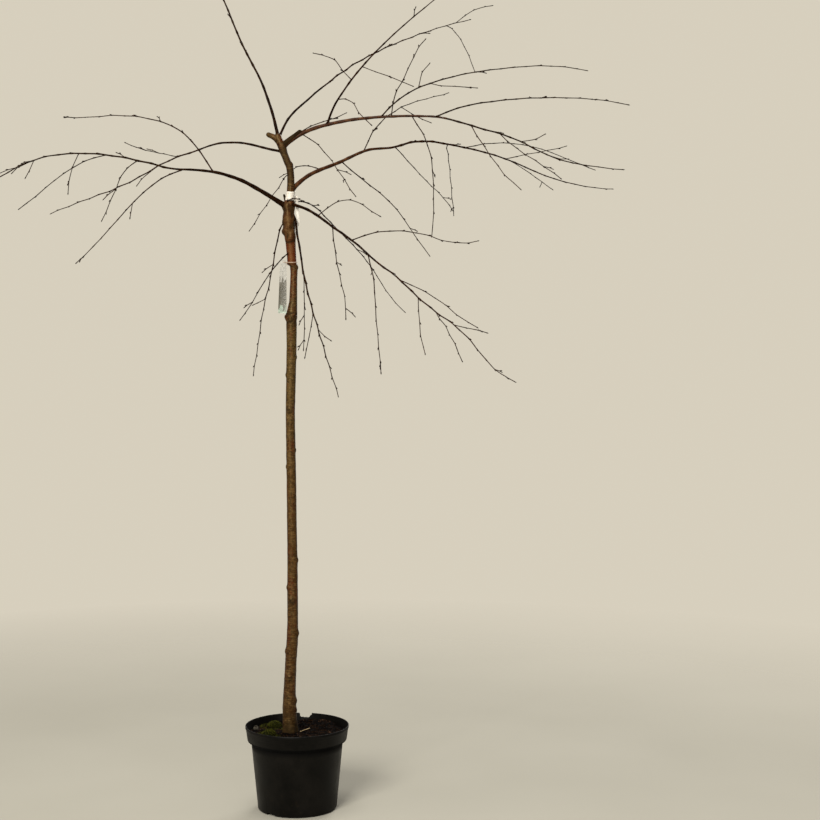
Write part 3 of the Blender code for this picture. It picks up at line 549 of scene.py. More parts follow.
class Bench:
    """The modelling bench: it takes up one object at a time, edits it and finishes it."""

    @staticmethod
    def take(obj: Object) -> Object:
        """Selects this object alone and makes it the active one."""
        bpy.ops.object.select_all(action="DESELECT")
        obj.select_set(True)
        bpy.context.view_layer.objects.active = obj
        return obj

    @staticmethod
    def fresh(name: str) -> Object:
        """Names the object that an operator has just added and takes it up."""
        obj = bpy.context.object
        obj.name = name
        obj.data.name = name
        return Bench.take(obj)

    @staticmethod
    @contextmanager
    def editing(obj: Object) -> Iterator[bmesh.types.BMesh]:
        """Opens an object in edit mode and hands out its mesh, with all of it selected.

        Args:
            obj: The object to edit.

        Yields:
            Its mesh in edit mode.
        """
        Bench.take(obj)
        bpy.ops.object.mode_set(mode="EDIT")
        bpy.ops.mesh.select_all(action="SELECT")
        yield bmesh.from_edit_mesh(obj.data)
        bpy.ops.object.mode_set(mode="OBJECT")

    @staticmethod
    def modify(obj: Object, kind: str, **settings: object) -> None:
        """Adds a modifier to an object and applies it.

        Args:
            obj: The object.
            kind: The modifier's type.
            **settings: Its properties.
        """
        Bench.take(obj)
        modifier = obj.modifiers.new(kind.lower(), kind)
        for key, value in settings.items():
            setattr(modifier, key, value)
        bpy.ops.object.modifier_apply(modifier=modifier.name)

    @staticmethod
    def cut(obj: Object, tool: Object) -> None:
        """Cuts one object by another, and puts the other away."""
        Bench.modify(obj, "BOOLEAN", operation="DIFFERENCE", object=tool, solver="EXACT")
        bpy.data.objects.remove(tool, do_unlink=True)

    @staticmethod
    def close(obj: Object, distance: float = 0.00001) -> None:
        """Merges doubled vertices and turns all faces outwards."""
        with Bench.editing(obj):
            bpy.ops.mesh.remove_doubles(threshold=distance)
            bpy.ops.mesh.normals_make_consistent(inside=False)

    @staticmethod
    def settle(obj: Object) -> None:
        """Moves the object's place, turn and size into its mesh."""
        Bench.take(obj)
        bpy.ops.object.transform_apply(location=True, rotation=True, scale=True)

    @staticmethod
    def smooth(obj: Object, angle: float = 40.0) -> None:
        """Shades an object smooth, with edges sharper than the angle kept."""
        Bench.take(obj)
        bpy.ops.object.shade_smooth_by_angle(angle=math.radians(angle))

    @staticmethod
    def draw_up(name: str, sides: int, foot: float, rings: Sequence[tuple[float, float]]) -> Object:
        """Draws a pointed shape up from a small foot at the origin, ring by ring along +Z.

        Args:
            name: Its name.
            sides: How many sides it has.
            foot: The radius of its foot.
            rings: How far each ring is above the one before, and its radius.

        Returns:
            The shape.
        """
        bpy.ops.mesh.primitive_circle_add(vertices=sides, radius=foot, fill_type="NGON")
        shape = Bench.fresh(name)
        with Bench.editing(shape):
            for rise, wide in rings:
                bpy.ops.mesh.extrude_region_move(TRANSFORM_OT_translate={"value": (0, 0, rise)})
                bpy.ops.transform.resize(value=(wide / foot, wide / foot, 1))
                foot = wide
        Bench.close(shape)
        return shape


def link(name: str, data: bpy.types.ID) -> Object:
    """Makes an object of a mesh, a lamp or a camera, and puts it in the scene."""
    obj = bpy.data.objects.new(name, data)
    bpy.context.scene.collection.objects.link(obj)
    return obj


def dress(
    obj: Object, materials: Sequence[Material], nodes: Sequence[str] = ()
) -> Object:
    """Gives a finished piece its materials and its place in the model, and reports it.

    Args:
        obj: The piece.
        materials: Its materials, in the order that its faces number them.
        nodes: The model's parts that it stands for.

    Returns:
        The piece.
    """
    numbers = np.zeros(len(obj.data.polygons), np.int32)
    obj.data.polygons.foreach_get("material_index", numbers)
    obj.data.materials.clear()
    for material in materials:
        obj.data.materials.append(material)
    obj.data.polygons.foreach_set("material_index", numbers % len(materials))
    if nodes:
        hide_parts(*nodes)
    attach(obj, BODY)
    obj.data.calc_loop_triangles()
    LOG.info("%s: %d triangles", obj.name, len(obj.data.loop_triangles))
    return obj


def mesh_object(
    name: str, points: Sequence, faces: Sequence[Sequence[int]], edges: Sequence[tuple[int, int]] = ()
) -> Object:
    """Makes a mesh object and puts it in the scene.

    Args:
        name: Its name.
        points: Its vertices, one row each.
        faces: The vertex numbers of each face.
        edges: The vertex numbers of each edge that no face has.

    Returns:
        The new object.
    """
    mesh = bpy.data.meshes.new(name)
    mesh.from_pydata(np.asarray(points).tolist(), edges, faces)
    return link(name, mesh)


def between_rings(first: int, rings: int, sides: int) -> Iterator[tuple[int, ...]]:
    """The faces between rings of vertices that follow one another.

    Args:
        first: The number of the first vertex.
        rings: How many rings there are.
        sides: How many vertices each has.

    Yields:
        The vertex numbers of each face.
    """
    for low in range(first, first + (rings - 1) * sides, sides):
        for j in range(sides):
            k = (j + 1) % sides
            yield low + j, low + k, low + sides + k, low + sides + j


def store(obj: Object, name: str, values: np.ndarray) -> None:
    """Keeps a number or a vector for each vertex, for the finish to read.

    Args:
        obj: The piece.
        name: The attribute's name.
        values: One number, or one row of three, for each vertex.
    """
    kind, key = ("FLOAT", "value") if values.ndim == 1 else ("FLOAT_VECTOR", "vector")
    attribute = obj.data.attributes.new(name, kind, "POINT")
    attribute.data.foreach_set(key, np.ascontiguousarray(values, np.float32).ravel())


def mesh_points(obj: Object) -> tuple[np.ndarray, np.ndarray]:
    """The places and the normals of an object's vertices."""
    count = len(obj.data.vertices)
    points, normals = np.empty(count * 3, np.float32), np.empty(count * 3, np.float32)
    obj.data.vertices.foreach_get("co", points)
    obj.data.vertex_normals.foreach_get("vector", normals)
    return points.reshape(-1, 3).astype(float), normals.reshape(-1, 3).astype(float)


def set_points(obj: Object, points: np.ndarray) -> None:
    """Moves an object's vertices."""
    obj.data.vertices.foreach_set("co", points.astype(np.float32).ravel())
    obj.data.update()


def ripple(places: np.ndarray, size: float) -> np.ndarray:
    """Smooth noise from -1 to 1 at each place, with swellings of about this size in metres."""
    return np.array([noise.noise(Vector(place)) for place in places / size])


def bell(values: np.ndarray, middle: float | np.ndarray, width: float | np.ndarray) -> np.ndarray:
    """A smooth hump: 1 in the middle, 0.37 at its width to either side."""
    return np.exp(-(((values - middle) / width) ** 2))


def within(values: np.ndarray, low: float, rise: float, high: float, fall: float) -> np.ndarray:
    """1 between two levels and 0 outside them, with a soft step up and a soft step down."""
    return np.clip((values - low) / rise, 0, 1) * np.clip((high - values) / fall, 0, 1)


# The stem from its flat foot on the compost to the fork: height, sideways, towards the back, across
STEM_RINGS = (
    (0.1844, -0.015, -0.02, 0.04), (0.196, -0.0155, -0.02, 0.0355), (0.216, -0.016, -0.0195, 0.0335),
    (0.244, -0.017, -0.019, 0.0325), (0.287, -0.016, -0.018, 0.0285), (0.358, -0.013, -0.017, 0.0268),
    (0.405, -0.0095, -0.0165, 0.0268), (0.453, -0.0085, -0.0155, 0.0252), (0.5, -0.0087, -0.015, 0.0252),
    (0.595, -0.0085, -0.0135, 0.0238), (0.69, -0.01, -0.012, 0.0226), (0.784, -0.0105, -0.0105, 0.0225),
    (0.878, -0.012, -0.009, 0.022), (0.943, -0.0125, -0.008, 0.0218), (1.018, -0.011, -0.0065, 0.0225),
    (1.1, -0.009, -0.0055, 0.0234), (1.15, -0.0092, -0.0045, 0.0248), (1.17, -0.009, -0.0045, 0.0258),
    (1.187, -0.007, -0.004, 0.0222), (1.201, -0.005, -0.004, 0.0188), (1.229, -0.0044, -0.0035, 0.0172),
    (1.271, -0.003, -0.0025, 0.0164), (1.282, -0.0034, -0.0025, 0.0174),
    (1.289, -0.0075, -0.0025, 0.0212), (1.322, -0.0097, -0.002, 0.0222), (1.345, -0.011, -0.0015, 0.0236),
    (1.364, -0.013, -0.001, 0.0272), (1.387, -0.0142, -0.001, 0.0288), (1.408, -0.0142, 0.0, 0.0255),
    (1.424, -0.0138, 0.0, 0.0272), (1.436, -0.0122, 0.0, 0.0212), (1.45, -0.0105, 0.0, 0.0184),
    (1.473, -0.0097, 0.0, 0.0172), (1.496, -0.0098, 0.0, 0.0164), (1.515, -0.012, 0.0, 0.0168),
    (1.53, -0.019, 0.0, 0.0166), (1.548, -0.0258, 0.0, 0.0168), (1.565, -0.0315, 0.0, 0.018),
    (1.579, -0.0375, 0.0, 0.0154), (1.591, -0.0405, 0.0, 0.0124),
)

# Zones of the stem: where each starts, how softly, where it ends, how softly
GRAFT = (1.338, 0.014, 1.436, 0.012)
RED_ZONE = (1.288, 0.006, 1.35, 0.02)
HEAD_ZONE = (1.462, 0.02, 1.575, 0.02)
# Rings round the stem: their height and half height
FLARE, OLD_COLLAR, OLD_CUT = (0.184, 0.022), (1.168, 0.016), (1.2835, 0.0026)
# Swellings and notches on the left of the stem: height, half height, how far they stand out
LEFT_SWELLINGS = (
    (1.2835, 0.0026, -0.0016), (1.2885, 0.0022, 0.0012), (1.364, 0.007, 0.002),
    (1.379, 0.004, -0.0014), (1.391, 0.012, 0.0022), (1.424, 0.008, 0.0034),
)
# Creases at the old collar, with painted shade in them: height, thickness, darkness
COLLAR_CREASES = ((1.1555, 0.0034, 0.95), (1.1735, 0.0017, 0.8))
# Knots and bumps on the stem: height, bearing, across
STEM_KNOTS = (
    (0.24, 345, 0.009), (0.262, 352, 0.011), (0.318, 264, 0.01), (0.38, 185, 0.009), (0.422, 350, 0.011),
    (0.5, 256, 0.013), (0.53, 190, 0.008), (0.595, 355, 0.008), (0.66, 95, 0.009), (0.815, 185, 0.007),
    (0.854, 0, 0.007), (0.949, 262, 0.011), (1.03, 190, 0.007), (1.05, 80, 0.009), (1.072, 0, 0.007),
    (1.165, 170, 0.012), (1.282, 350, 0.008), (1.364, 185, 0.012), (1.395, 60, 0.012),
    (1.521, 345, 0.007),
)

# The line of the short shoot that arches over the foot of the tape
ARC_THICKNESS = (2.6, 1.8)
TAPE_ARC = (
    (-0.0185, -0.0075, 1.4275), (-0.0165, -0.0125, 1.435), (-0.006, -0.015, 1.4402),
    (0.006, -0.0135, 1.4398), (0.025, -0.008, 1.434),
)

# How limbs grow
BUD_SPACING = 0.03
ZIGZAG = 5
TWIG_CHANCE = 0.16
TWIG_LENGTHS = (0.015, 0.045)
TWIG_THICKNESS = (1.8, 1.2)
TWIG_FORK = (30, 60)
TWIG_RISE = (0, 30)
TWIG_STEEPNESS = 0.7
TWIG_DROOP = 25
TWIG_CLEARANCE = 1.0 * MM
SAMPLE_SPACING = 0.004
CELL = 0.012
THICK_BOUGH = 0.012


@dataclass(frozen=True)
class Limb:
    """A bough or shoot.

    Attributes:
        name: Its name.
        parent: What it grows on from.
        at: The share of the parent's length where it leaves, or the height on the stem.
        heading: The bearing that it sets off on, in degrees from +X.
        turn: How far the bearing turns by its tip.
        pitches: Its rise above the level, in degrees, spread evenly from foot to tip.
        length: Its length in metres.
        thick: Its thickness at the foot, in millimetres.
        tip: Its thickness at the tip.
    """

    name: str
    at: float
    heading: float
    turn: float
    pitches: tuple[float, ...]
    length: float
    thick: float
    tip: float
    parent: str = "stem"


STUBS = (
    Limb("stub_right", 1.562, 352, 0, (38, 36), 0.054, 13.0, 11.5, "trunk"),
    Limb("stub_left", 1.572, 182, 0, (50, 15), 0.032, 13.0, 10.5, "trunk"),
    Limb("stub_low", 1.424, 185, 0, (50, 80), 0.028, 6.5, 5.0, "trunk"),
)
BOUGHS = (
    Limb("bough_top", 1.58, 156, -4, (78, 70, 65), 0.16, 7.6, 5.0, "trunk"),
    Limb("bough_back_top", 1.58, 52, -4, (64, 35, 35), 0.2, 5.6, 3.8, "trunk"),
    Limb("bough_left_low", 1.42, 196, -2, (30, 30, 10, -5), 0.28, 11.0, 4.4, "trunk"),
    Limb("bough_left_high", 1.55, 150, 4, (10, 15, 0, -20), 0.24, 5.8, 3.8, "trunk"),
    Limb("bough_right_high", 1.56, 350, 2, (40, 15, 5, 0, -5), 0.4, 9.4, 4.2, "trunk"),
    Limb("bough_rising", 0.3, 326, 6, (70, 50), 0.08, 5.2, 4.2, "bough_right_high"),
    Limb("bough_right_mid", 1.46, 32, 0, (45, 20, 25, -5), 0.3, 9.6, 5.2, "trunk"),
    Limb("bough_right_low", 1.43, 322, 2, (-10, -30, -30, -40), 0.29, 6.8, 4.2, "trunk"),
    Limb("bough_front", 1.42, 350, -60, (-45, -85, -70, -70), 0.13, 5.6, 4.4, "trunk"),
)
RED_BOUGHS = ("bough_right_high", "bough_right_mid")
STUB_DARKNESS = (0.92, 0.0, 0.8)

# Each mass of twigs is its stem and the side shoots that fork from it
MASSES = {
    "twigs_top": (
        Limb("stem", 1, 152, -14, (55, 65, 55, 35), 0.45, 5.0, 2.0, "bough_top"),
        Limb("left", 0.6, 196, -10, (40, 5, -10), 0.2, 2.4, 1.4),
        Limb("front", 0.7, 262, 12, (50, 25, -10), 0.2, 2.4, 1.4),
        Limb("right", 0.64, 24, 10, (55, 35, 5, -10), 0.26, 2.4, 1.4),
        Limb("back", 0.8, 84, -8, (30, 5, -25), 0.18, 2.2, 1.4),
        Limb("end", 0.86, 190, 0, (20, 0, -20), 0.13, 2.0, 1.4),
    ),
    "twigs_back_top": (
        Limb("stem", 1, 48, -10, (35, 25, 20, 15), 0.55, 3.8, 1.8, "bough_back_top"),
        Limb("down", 0.84, 66, -10, (0, -35, -55), 0.2, 2.2, 1.4),
        Limb("up", 0.9, 14, 10, (45, 25, 5), 0.12, 2.0, 1.4),
    ),
    "twigs_left_low": (
        Limb("stem", 1, 194, -8, (15, 10, -5, -30, -35), 0.51, 4.4, 2.0, "bough_left_low"),
        Limb("down", 0.18, 166, 10, (-20, -65, -65, -65), 0.17, 2.4, 1.4),
        Limb("out", 0.32, 222, -8, (-10, -30, -40, -35), 0.26, 2.4, 1.4),
        Limb("short", 0.44, 160, 10, (-50, -75, -85), 0.1, 2.0, 1.4),
        Limb("end", 0.64, 215, 0, (-65, -60), 0.05, 1.8, 1.2),
        Limb("tip", 0.66, 166, 8, (-20, -15, -25), 0.11, 1.8, 1.2),
    ),
    "twigs_left_rising": (
        Limb("stem", 0.7, 168, 10, (60, 50, 20, 5, -5, 5), 0.41, 3.4, 1.6, "bough_left_low"),
    ),
    "twigs_left_weeping": (
        Limb("stem", 0.96, 224, -8, (-15, -35, -45, -45, -40), 0.36, 3.0, 1.6, "bough_left_low"),
        Limb("down", 0.44, 250, 0, (-75, -65, -75), 0.04, 1.8, 1.2),
    ),
    "twigs_left_high": (
        Limb("stem", 1, 154, 6, (-10, -25, -15, -20), 0.46, 3.8, 1.8, "bough_left_high"),
        Limb("over", 0.14, 128, 10, (10, 10, 20), 0.24, 2.0, 1.4),
        Limb("under", 0.26, 190, 0, (-30, -55), 0.08, 1.8, 1.2),
    ),
    "twigs_rising": (
        Limb("stem", 1, 332, 12, (50, 40, 35, 35), 0.4, 4.2, 1.6, "bough_rising"),
        Limb("over", 0.1, 215, -10, (40, 50, 15, 0), 0.12, 2.0, 1.4),
        Limb("out", 0.2, 354, 6, (-20, -20, -25), 0.13, 2.0, 1.4),
    ),
    "twigs_rising_under": (Limb("stem", 0.8, 312, 8, (10, -50, -30), 0.14, 2.2, 1.4, "bough_rising"),),
    "twigs_stub": (Limb("stem", 0.9, 12, 0, (40, 20, 20, 25), 0.13, 2.6, 1.6, "stub_right"),),
    "twigs_right_front": (
        Limb("stem", 0.62, 330, 10, (45, 15, 5, 0, -15), 0.53, 3.4, 1.6, "bough_right_high"),
        Limb("up", 0.22, 20, 10, (90, 65, 25), 0.07, 2.0, 1.4),
        Limb("low", 0.28, 322, 10, (-15, -5, -10), 0.13, 2.0, 1.4),
    ),
    "twigs_right_up": (Limb("stem", 0.68, 24, 8, (90, 60, 65, 45), 0.21, 2.6, 1.6, "bough_right_high"),),
    "twigs_right_hanging": (
        Limb("stem", 0.8, 306, 10, (-40, -55, -85, -90, -100), 0.31, 2.6, 1.6, "bough_right_high"),
    ),
    "twigs_right_far": (
        Limb("stem", 0.94, 330, 12, (20, 5, 0, -5, -15), 0.47, 3.4, 1.6, "bough_right_high"),
    ),
    "twigs_right_high": (
        Limb("stem", 1, 352, 4, (-20, -15, -30, -10, -5), 0.43, 4.2, 1.8, "bough_right_high"),
        Limb("down", 0.14, 320, 4, (-55, -50, -35), 0.21, 2.4, 1.4),
        Limb("front", 0.3, 322, 8, (-40, -30, -35), 0.2, 2.2, 1.4),
        Limb("over", 0.42, 20, 0, (5, 30), 0.07, 1.8, 1.2),
        Limb("end", 0.58, 22, 0, (-20, 5), 0.06, 1.6, 1.2),
    ),
    "twigs_inner_weeping": (
        Limb("stem", 0.14, 316, 0, (-20, -40, -50, -45), 0.24, 2.4, 1.5, "bough_right_high"),
    ),
    "twigs_mid_rising": (
        Limb("stem", 0.74, 50, -4, (65, 30, 15, 15), 0.37, 2.8, 1.6, "bough_right_mid"),
        Limb("side", 0.5, 20, 0, (-30, -25, -15), 0.09, 2.0, 1.4),
    ),
    "twigs_back_left": (
        Limb("stem", 0.32, 118, 26, (15, 5, -40, -45, -50), 0.36, 2.6, 1.6, "bough_right_mid"),
    ),
    "twigs_mid_weeping": (
        Limb("stem", 0.52, 14, 8, (-40, -35, -55, -50), 0.32, 2.8, 1.6, "bough_right_mid"),
    ),
    "twigs_right_mid": (
        Limb("stem", 1, 32, -8, (25, -5, -10, -20, -10, 0), 0.67, 5.2, 1.8, "bough_right_mid"),
        Limb("under", 0.02, 54, 0, (-30, -30, -25, -40), 0.29, 2.4, 1.4),
        Limb("fork", 0.32, 36, -4, (15, 0, -15, -15), 0.43, 2.4, 1.4),
        Limb("side", 0.5, 14, 0, (15, 10, 15), 0.17, 2.2, 1.4),
        Limb("low", 0.52, 50, 0, (-15, -20, -20), 0.2, 2.0, 1.4),
        Limb("back", 0.24, 88, -10, (5, -30, -50, -60), 0.3, 2.4, 1.4),
    ),
    "twigs_low_side": (Limb("stem", 0.32, 10, -6, (45, 25, -35, -30), 0.17, 2.4, 1.5, "bough_right_low"),),
    "twigs_low_hanging": (
        Limb("stem", 0.5, 292, 6, (-80, -65, -60, -95), 0.23, 2.6, 1.5, "bough_right_low"),
    ),
    "twigs_low_out": (Limb("stem", 0.72, 356, 4, (25, 0, -20, 15), 0.3, 2.8, 1.5, "bough_right_low"),),
    "twigs_low_curtain": (
        Limb("stem", 0.92, 296, 8, (-50, -85, -80, -80), 0.28, 2.8, 1.5, "bough_right_low"),
    ),
    "twigs_right_low": (
        Limb("stem", 1, 324, 6, (-25, -40, -30, -50, -20), 0.46, 4.2, 1.6, "bough_right_low"),
        Limb("over", 0.18, 352, 0, (-20, -30, -40, -25), 0.21, 2.2, 1.4),
        Limb("hang", 0.32, 290, 0, (-85, -75, -40), 0.14, 2.0, 1.4),
        Limb("down", 0.44, 296, 0, (-30, -40, -50), 0.17, 1.8, 1.2),
        Limb("side", 0.56, 354, 0, (-10, -15), 0.08, 1.8, 1.2),
    ),
    "twigs_back_right": (Limb("stem", 1.43, 66, -8, (15, -25, -25, -40, -25), 0.65, 3.4, 1.6, "trunk"),),
    "twigs_back": (
        Limb("stem", 1.41, 122, -6, (-30, -70, -60, -70, -65), 0.45, 3.4, 1.6, "trunk"),
        Limb("side", 0.54, 170, 0, (-20, -30), 0.04, 1.8, 1.2),
    ),
    "twigs_front_left": (Limb("stem", 1.32, 238, -6, (-25, -40, -50, -40), 0.25, 3.0, 1.6, "trunk"),),
    "twigs_front": (
        Limb("stem", 1, 290, 4, (-60, -50, -50, -45), 0.4, 4.4, 1.6, "bough_front"),
        Limb("down", 0.04, 236, 10, (-100, -90, -90, -80), 0.2, 2.2, 1.4),
        Limb("right", 0.5, 322, 0, (-35, -30), 0.05, 1.8, 1.2),
        Limb("left", 0.38, 238, 0, (-75, -70, -70), 0.11, 2.0, 1.3),
    ),
}
# The sprays that the fine twigs and their buds are gathered in, and the masses in each
SPRAYS = {
    "top": ("top", "back_top"),
    "left": ("left_low", "left_rising", "left_weeping", "left_high", "back_left"),
    "upper_right": (
        "rising", "rising_under", "stub", "right_front", "right_up", "right_hanging", "right_far",
        "right_high", "inner_weeping",
    ),
    "middle_right": ("mid_rising", "mid_weeping", "right_mid"),
    "lower_right": ("low_side", "low_hanging", "low_out", "low_curtain", "right_low"),
    "middle": ("back_right", "back", "front_left", "front"),
}


def between(values: Sequence[float], share: float) -> float:
    """The value at this share of the way through values spread evenly from first to last."""
    place = min(max(share, 0), 1) * (len(values) - 1)
    low = min(int(place), len(values) - 2)
    return values[low] + (values[low + 1] - values[low]) * (place - low)


def direction(heading: float, pitch: float) -> Vector:
    """The unit vector on a bearing from +X, at this rise above the level."""
    level = math.cos(math.radians(pitch))
    return Vector((
        level * math.cos(math.radians(heading)),
        level * math.sin(math.radians(heading)),
        math.sin(math.radians(pitch)),
    ))


class Stem:
    """The line and the girth of the stem."""

    @staticmethod
    def ring(height: float | np.ndarray) -> tuple:
        """The stem's place sideways and towards the back at a height, and its width."""
        levels, *tracks = zip(*STEM_RINGS)
        return tuple(np.interp(height, levels, track) for track in tracks)

    @staticmethod
    def axis(height: float) -> Vector:
        """The middle of the stem at this height."""
        x, y, _ = Stem.ring(height)
        return Vector((x, y, height))

    @staticmethod
    def radius(height: float) -> float:
        """Half the stem's width at this height."""
        return Stem.ring(height)[2] / 2


@dataclass
class Shoot:
    """A grown limb: its line, its radii and what it belongs to."""

    key: str
    limb: Limb | None  # A short side twig has none
    points: list[Vector]  # One at each bud
    radii: list[float]
    bearer: float  # The radius of what it leaves
    before: Vector | None = None  # The point before its first, where it grows on from a tip
    after: Vector | None = None  # The point after its last, where another grows on from it


class Growth:
    """The rule by which the tree grows, with the space that its limbs already fill."""

    def __init__(self) -> None:
        """Grows the whole tree: stubs and boughs, then each mass, then short side twigs."""
        self.shoots: dict[str, Shoot] = {}
        self.twigs: dict[str, list[Shoot]] = defaultdict(list)
        self.filled: dict[tuple, list] = defaultdict(list)
        axis = [Vector((x, y, z)) for z, x, y, _ in STEM_RINGS]
        self.fill("trunk", axis, [ring[3] / 2 for ring in STEM_RINGS])
        for limb in STUBS + BOUGHS:
            self.grow(limb)
        for mass, limbs in MASSES.items():
            for limb in limbs:
                self.grow(limb, mass)
        for mass, limbs in MASSES.items():
            for limb in limbs:
                self.grow_side_twigs(mass, limb)
        self.ease_joints()
        self.add_arc()

    @staticmethod
    def line(
        key: str, start: Vector, heading: float, turn: float, pitches: Sequence[float],
        length: float, zigzag: float,
    ) -> list[Vector]:
        """Points from foot to tip, one at each bud, where the limb changes side a little.

        Args:
            key: The limb's own name, which settles its chances.
            start: Where it starts.
            heading: The bearing that it sets off on.
            turn: How far the bearing turns by the tip.
            pitches: Its rise, spread evenly from foot to tip.
            length: Its length.
            zigzag: How many degrees it changes side by.

        Returns:
            The points.
        """
        dice = random.Random(key)
        count = max(2, round(length / BUD_SPACING))
        points = [Vector(start)]
        for i in range(count):
            share = (i + 0.5) / count
            sway = zigzag * dice.uniform(0.5, 1.2) * (1 if i % 2 else -1)
            step = direction(heading + turn * share + sway, between(pitches, share) + 0.4 * sway)
            points.append(points[-1] + step * (length / count))
        return points

    @staticmethod
    def taper(thick: float, tip: float, count: int) -> list[float]:
        """Radii from foot to tip, in metres, for thicknesses in millimetres."""
        return [(thick + (tip - thick) * i / (count - 1)) * MM / 2 for i in range(count)]

    def start_of(self, limb: Limb, mass: str) -> tuple[Vector, float]:
        """Where a limb starts, and the radius of what bears it there."""
        if limb.parent == "trunk":
            return Stem.axis(limb.at), Stem.radius(limb.at)
        parent = self.shoots[f"{mass}.stem" if limb.parent == "stem" else limb.parent]
        place = min(limb.at, 1) * (len(parent.points) - 1)
        low = min(int(place), len(parent.points) - 2)
        start = parent.points[low].lerp(parent.points[low + 1], place - low)
        return start, parent.radii[low] if limb.at < 1 else 0.0

    def grow(self, limb: Limb, mass: str = "") -> None:
        """Adds a limb where it leaves its parent.

        Args:
            limb: The limb.
            mass: The mass that it belongs to, if any.
        """
        key = f"{mass}.{limb.name}" if mass else limb.name
        start, bearer = self.start_of(limb, mass)
        zigzag = ZIGZAG if mass else 0.4 * ZIGZAG
        points = self.line(key, start, limb.heading, limb.turn, limb.pitches, limb.length, zigzag)
        radii = self.taper(limb.thick, limb.tip, len(points))
        shoot = self.shoots[key] = Shoot(key, limb, points, radii, bearer)
        if limb.at == 1:
            parent = self.shoots[limb.parent]
            shoot.before, parent.after = parent.points[-2], points[1]
        self.fill(mass or limb.name, points, radii)

    def grow_side_twigs(self, mass: str, limb: Limb) -> None:
        """Adds short twigs to a shoot by chance, to either side by turns, where there is room."""
        key = f"{mass}.{limb.name}"
        dice = random.Random(key + ".twigs")
        shoot = self.shoots[key]
        for i in range(2, len(shoot.points) - 1):
            chance, fork, rise = dice.random(), dice.uniform(*TWIG_FORK), dice.uniform(*TWIG_RISE)
            length = dice.uniform(*TWIG_LENGTHS)
            if chance > TWIG_CHANCE:
                continue
            share = i / (len(shoot.points) - 1)
            heading = limb.heading + limb.turn * share + (fork if i % 2 else -fork)
            pitch = TWIG_STEEPNESS * between(limb.pitches, share) + rise
            pitches = (pitch, pitch - TWIG_DROOP)
            points = self.line(f"{key}.{i}", shoot.points[i], heading, 0, pitches, length, ZIGZAG)
            radii = self.taper(*TWIG_THICKNESS, len(points))
            if self.is_free(mass, points[1:], radii[1:]):
                self.fill(mass, points, radii)
                self.twigs[mass].append(Shoot(f"{key}.{i}", None, points, radii, shoot.radii[i]))

    def ease_joints(self) -> None:
        """Softens the bend where a mass grows on from the tip of a bough."""
        for shoot in self.shoots.values():
            if shoot.before:
                middle = shoot.before.lerp(shoot.points[1], 0.5)
                shoot.points[0] = shoot.points[0].lerp(middle, 0.6)
                self.shoots[shoot.limb.parent].points[-1] = shoot.points[0]

    def add_arc(self) -> None:
        """Adds the short thin shoot that arches over the foot of the tape."""
        points = [Vector(place) for place in TAPE_ARC]
        radii = self.taper(*ARC_THICKNESS, len(points))
        self.twigs["twigs_back_right"].append(Shoot("arc", None, points, radii, 0.0))

    @staticmethod
    def samples(points: Sequence[Vector], radii: Sequence[float]) -> Iterator[tuple[Vector, float]]:
        """Places close together along a limb, each with the limb's radius there."""
        for a, b, wide, narrow in zip(points, points[1:], radii, radii[1:]):
            count = max(1, math.ceil((b - a).length / SAMPLE_SPACING))
            for i in range(count + 1):
                yield a.lerp(b, i / count), wide + (narrow - wide) * i / count

    @staticmethod
    def cell_of(place: Vector) -> tuple[int, ...]:
        """The cell of space that holds a place."""
        return tuple(math.floor(value / CELL) for value in place)

    def fill(self, owner: str, points: Sequence[Vector], radii: Sequence[float]) -> None:
        """Notes the space that a limb fills."""
        for place, radius in self.samples(points, radii):
            self.filled[self.cell_of(place)].append((place, radius, owner))

    def is_free(self, owner: str, points: Sequence[Vector], radii: Sequence[float]) -> bool:
        """Whether a twig keeps clear of every other owner's limbs."""
        for place, radius in self.samples(points, radii):
            x, y, z = self.cell_of(place)
            cells = ((x + i, y + j, z + k) for i in (-1, 0, 1) for j in (-1, 0, 1) for k in (-1, 0, 1))
            for cell in cells:
                for other, width, holder in self.filled.get(cell, ()):
                    if holder != owner and (other - place).length < radius + width + TWIG_CLEARANCE:
                        return False
        return True


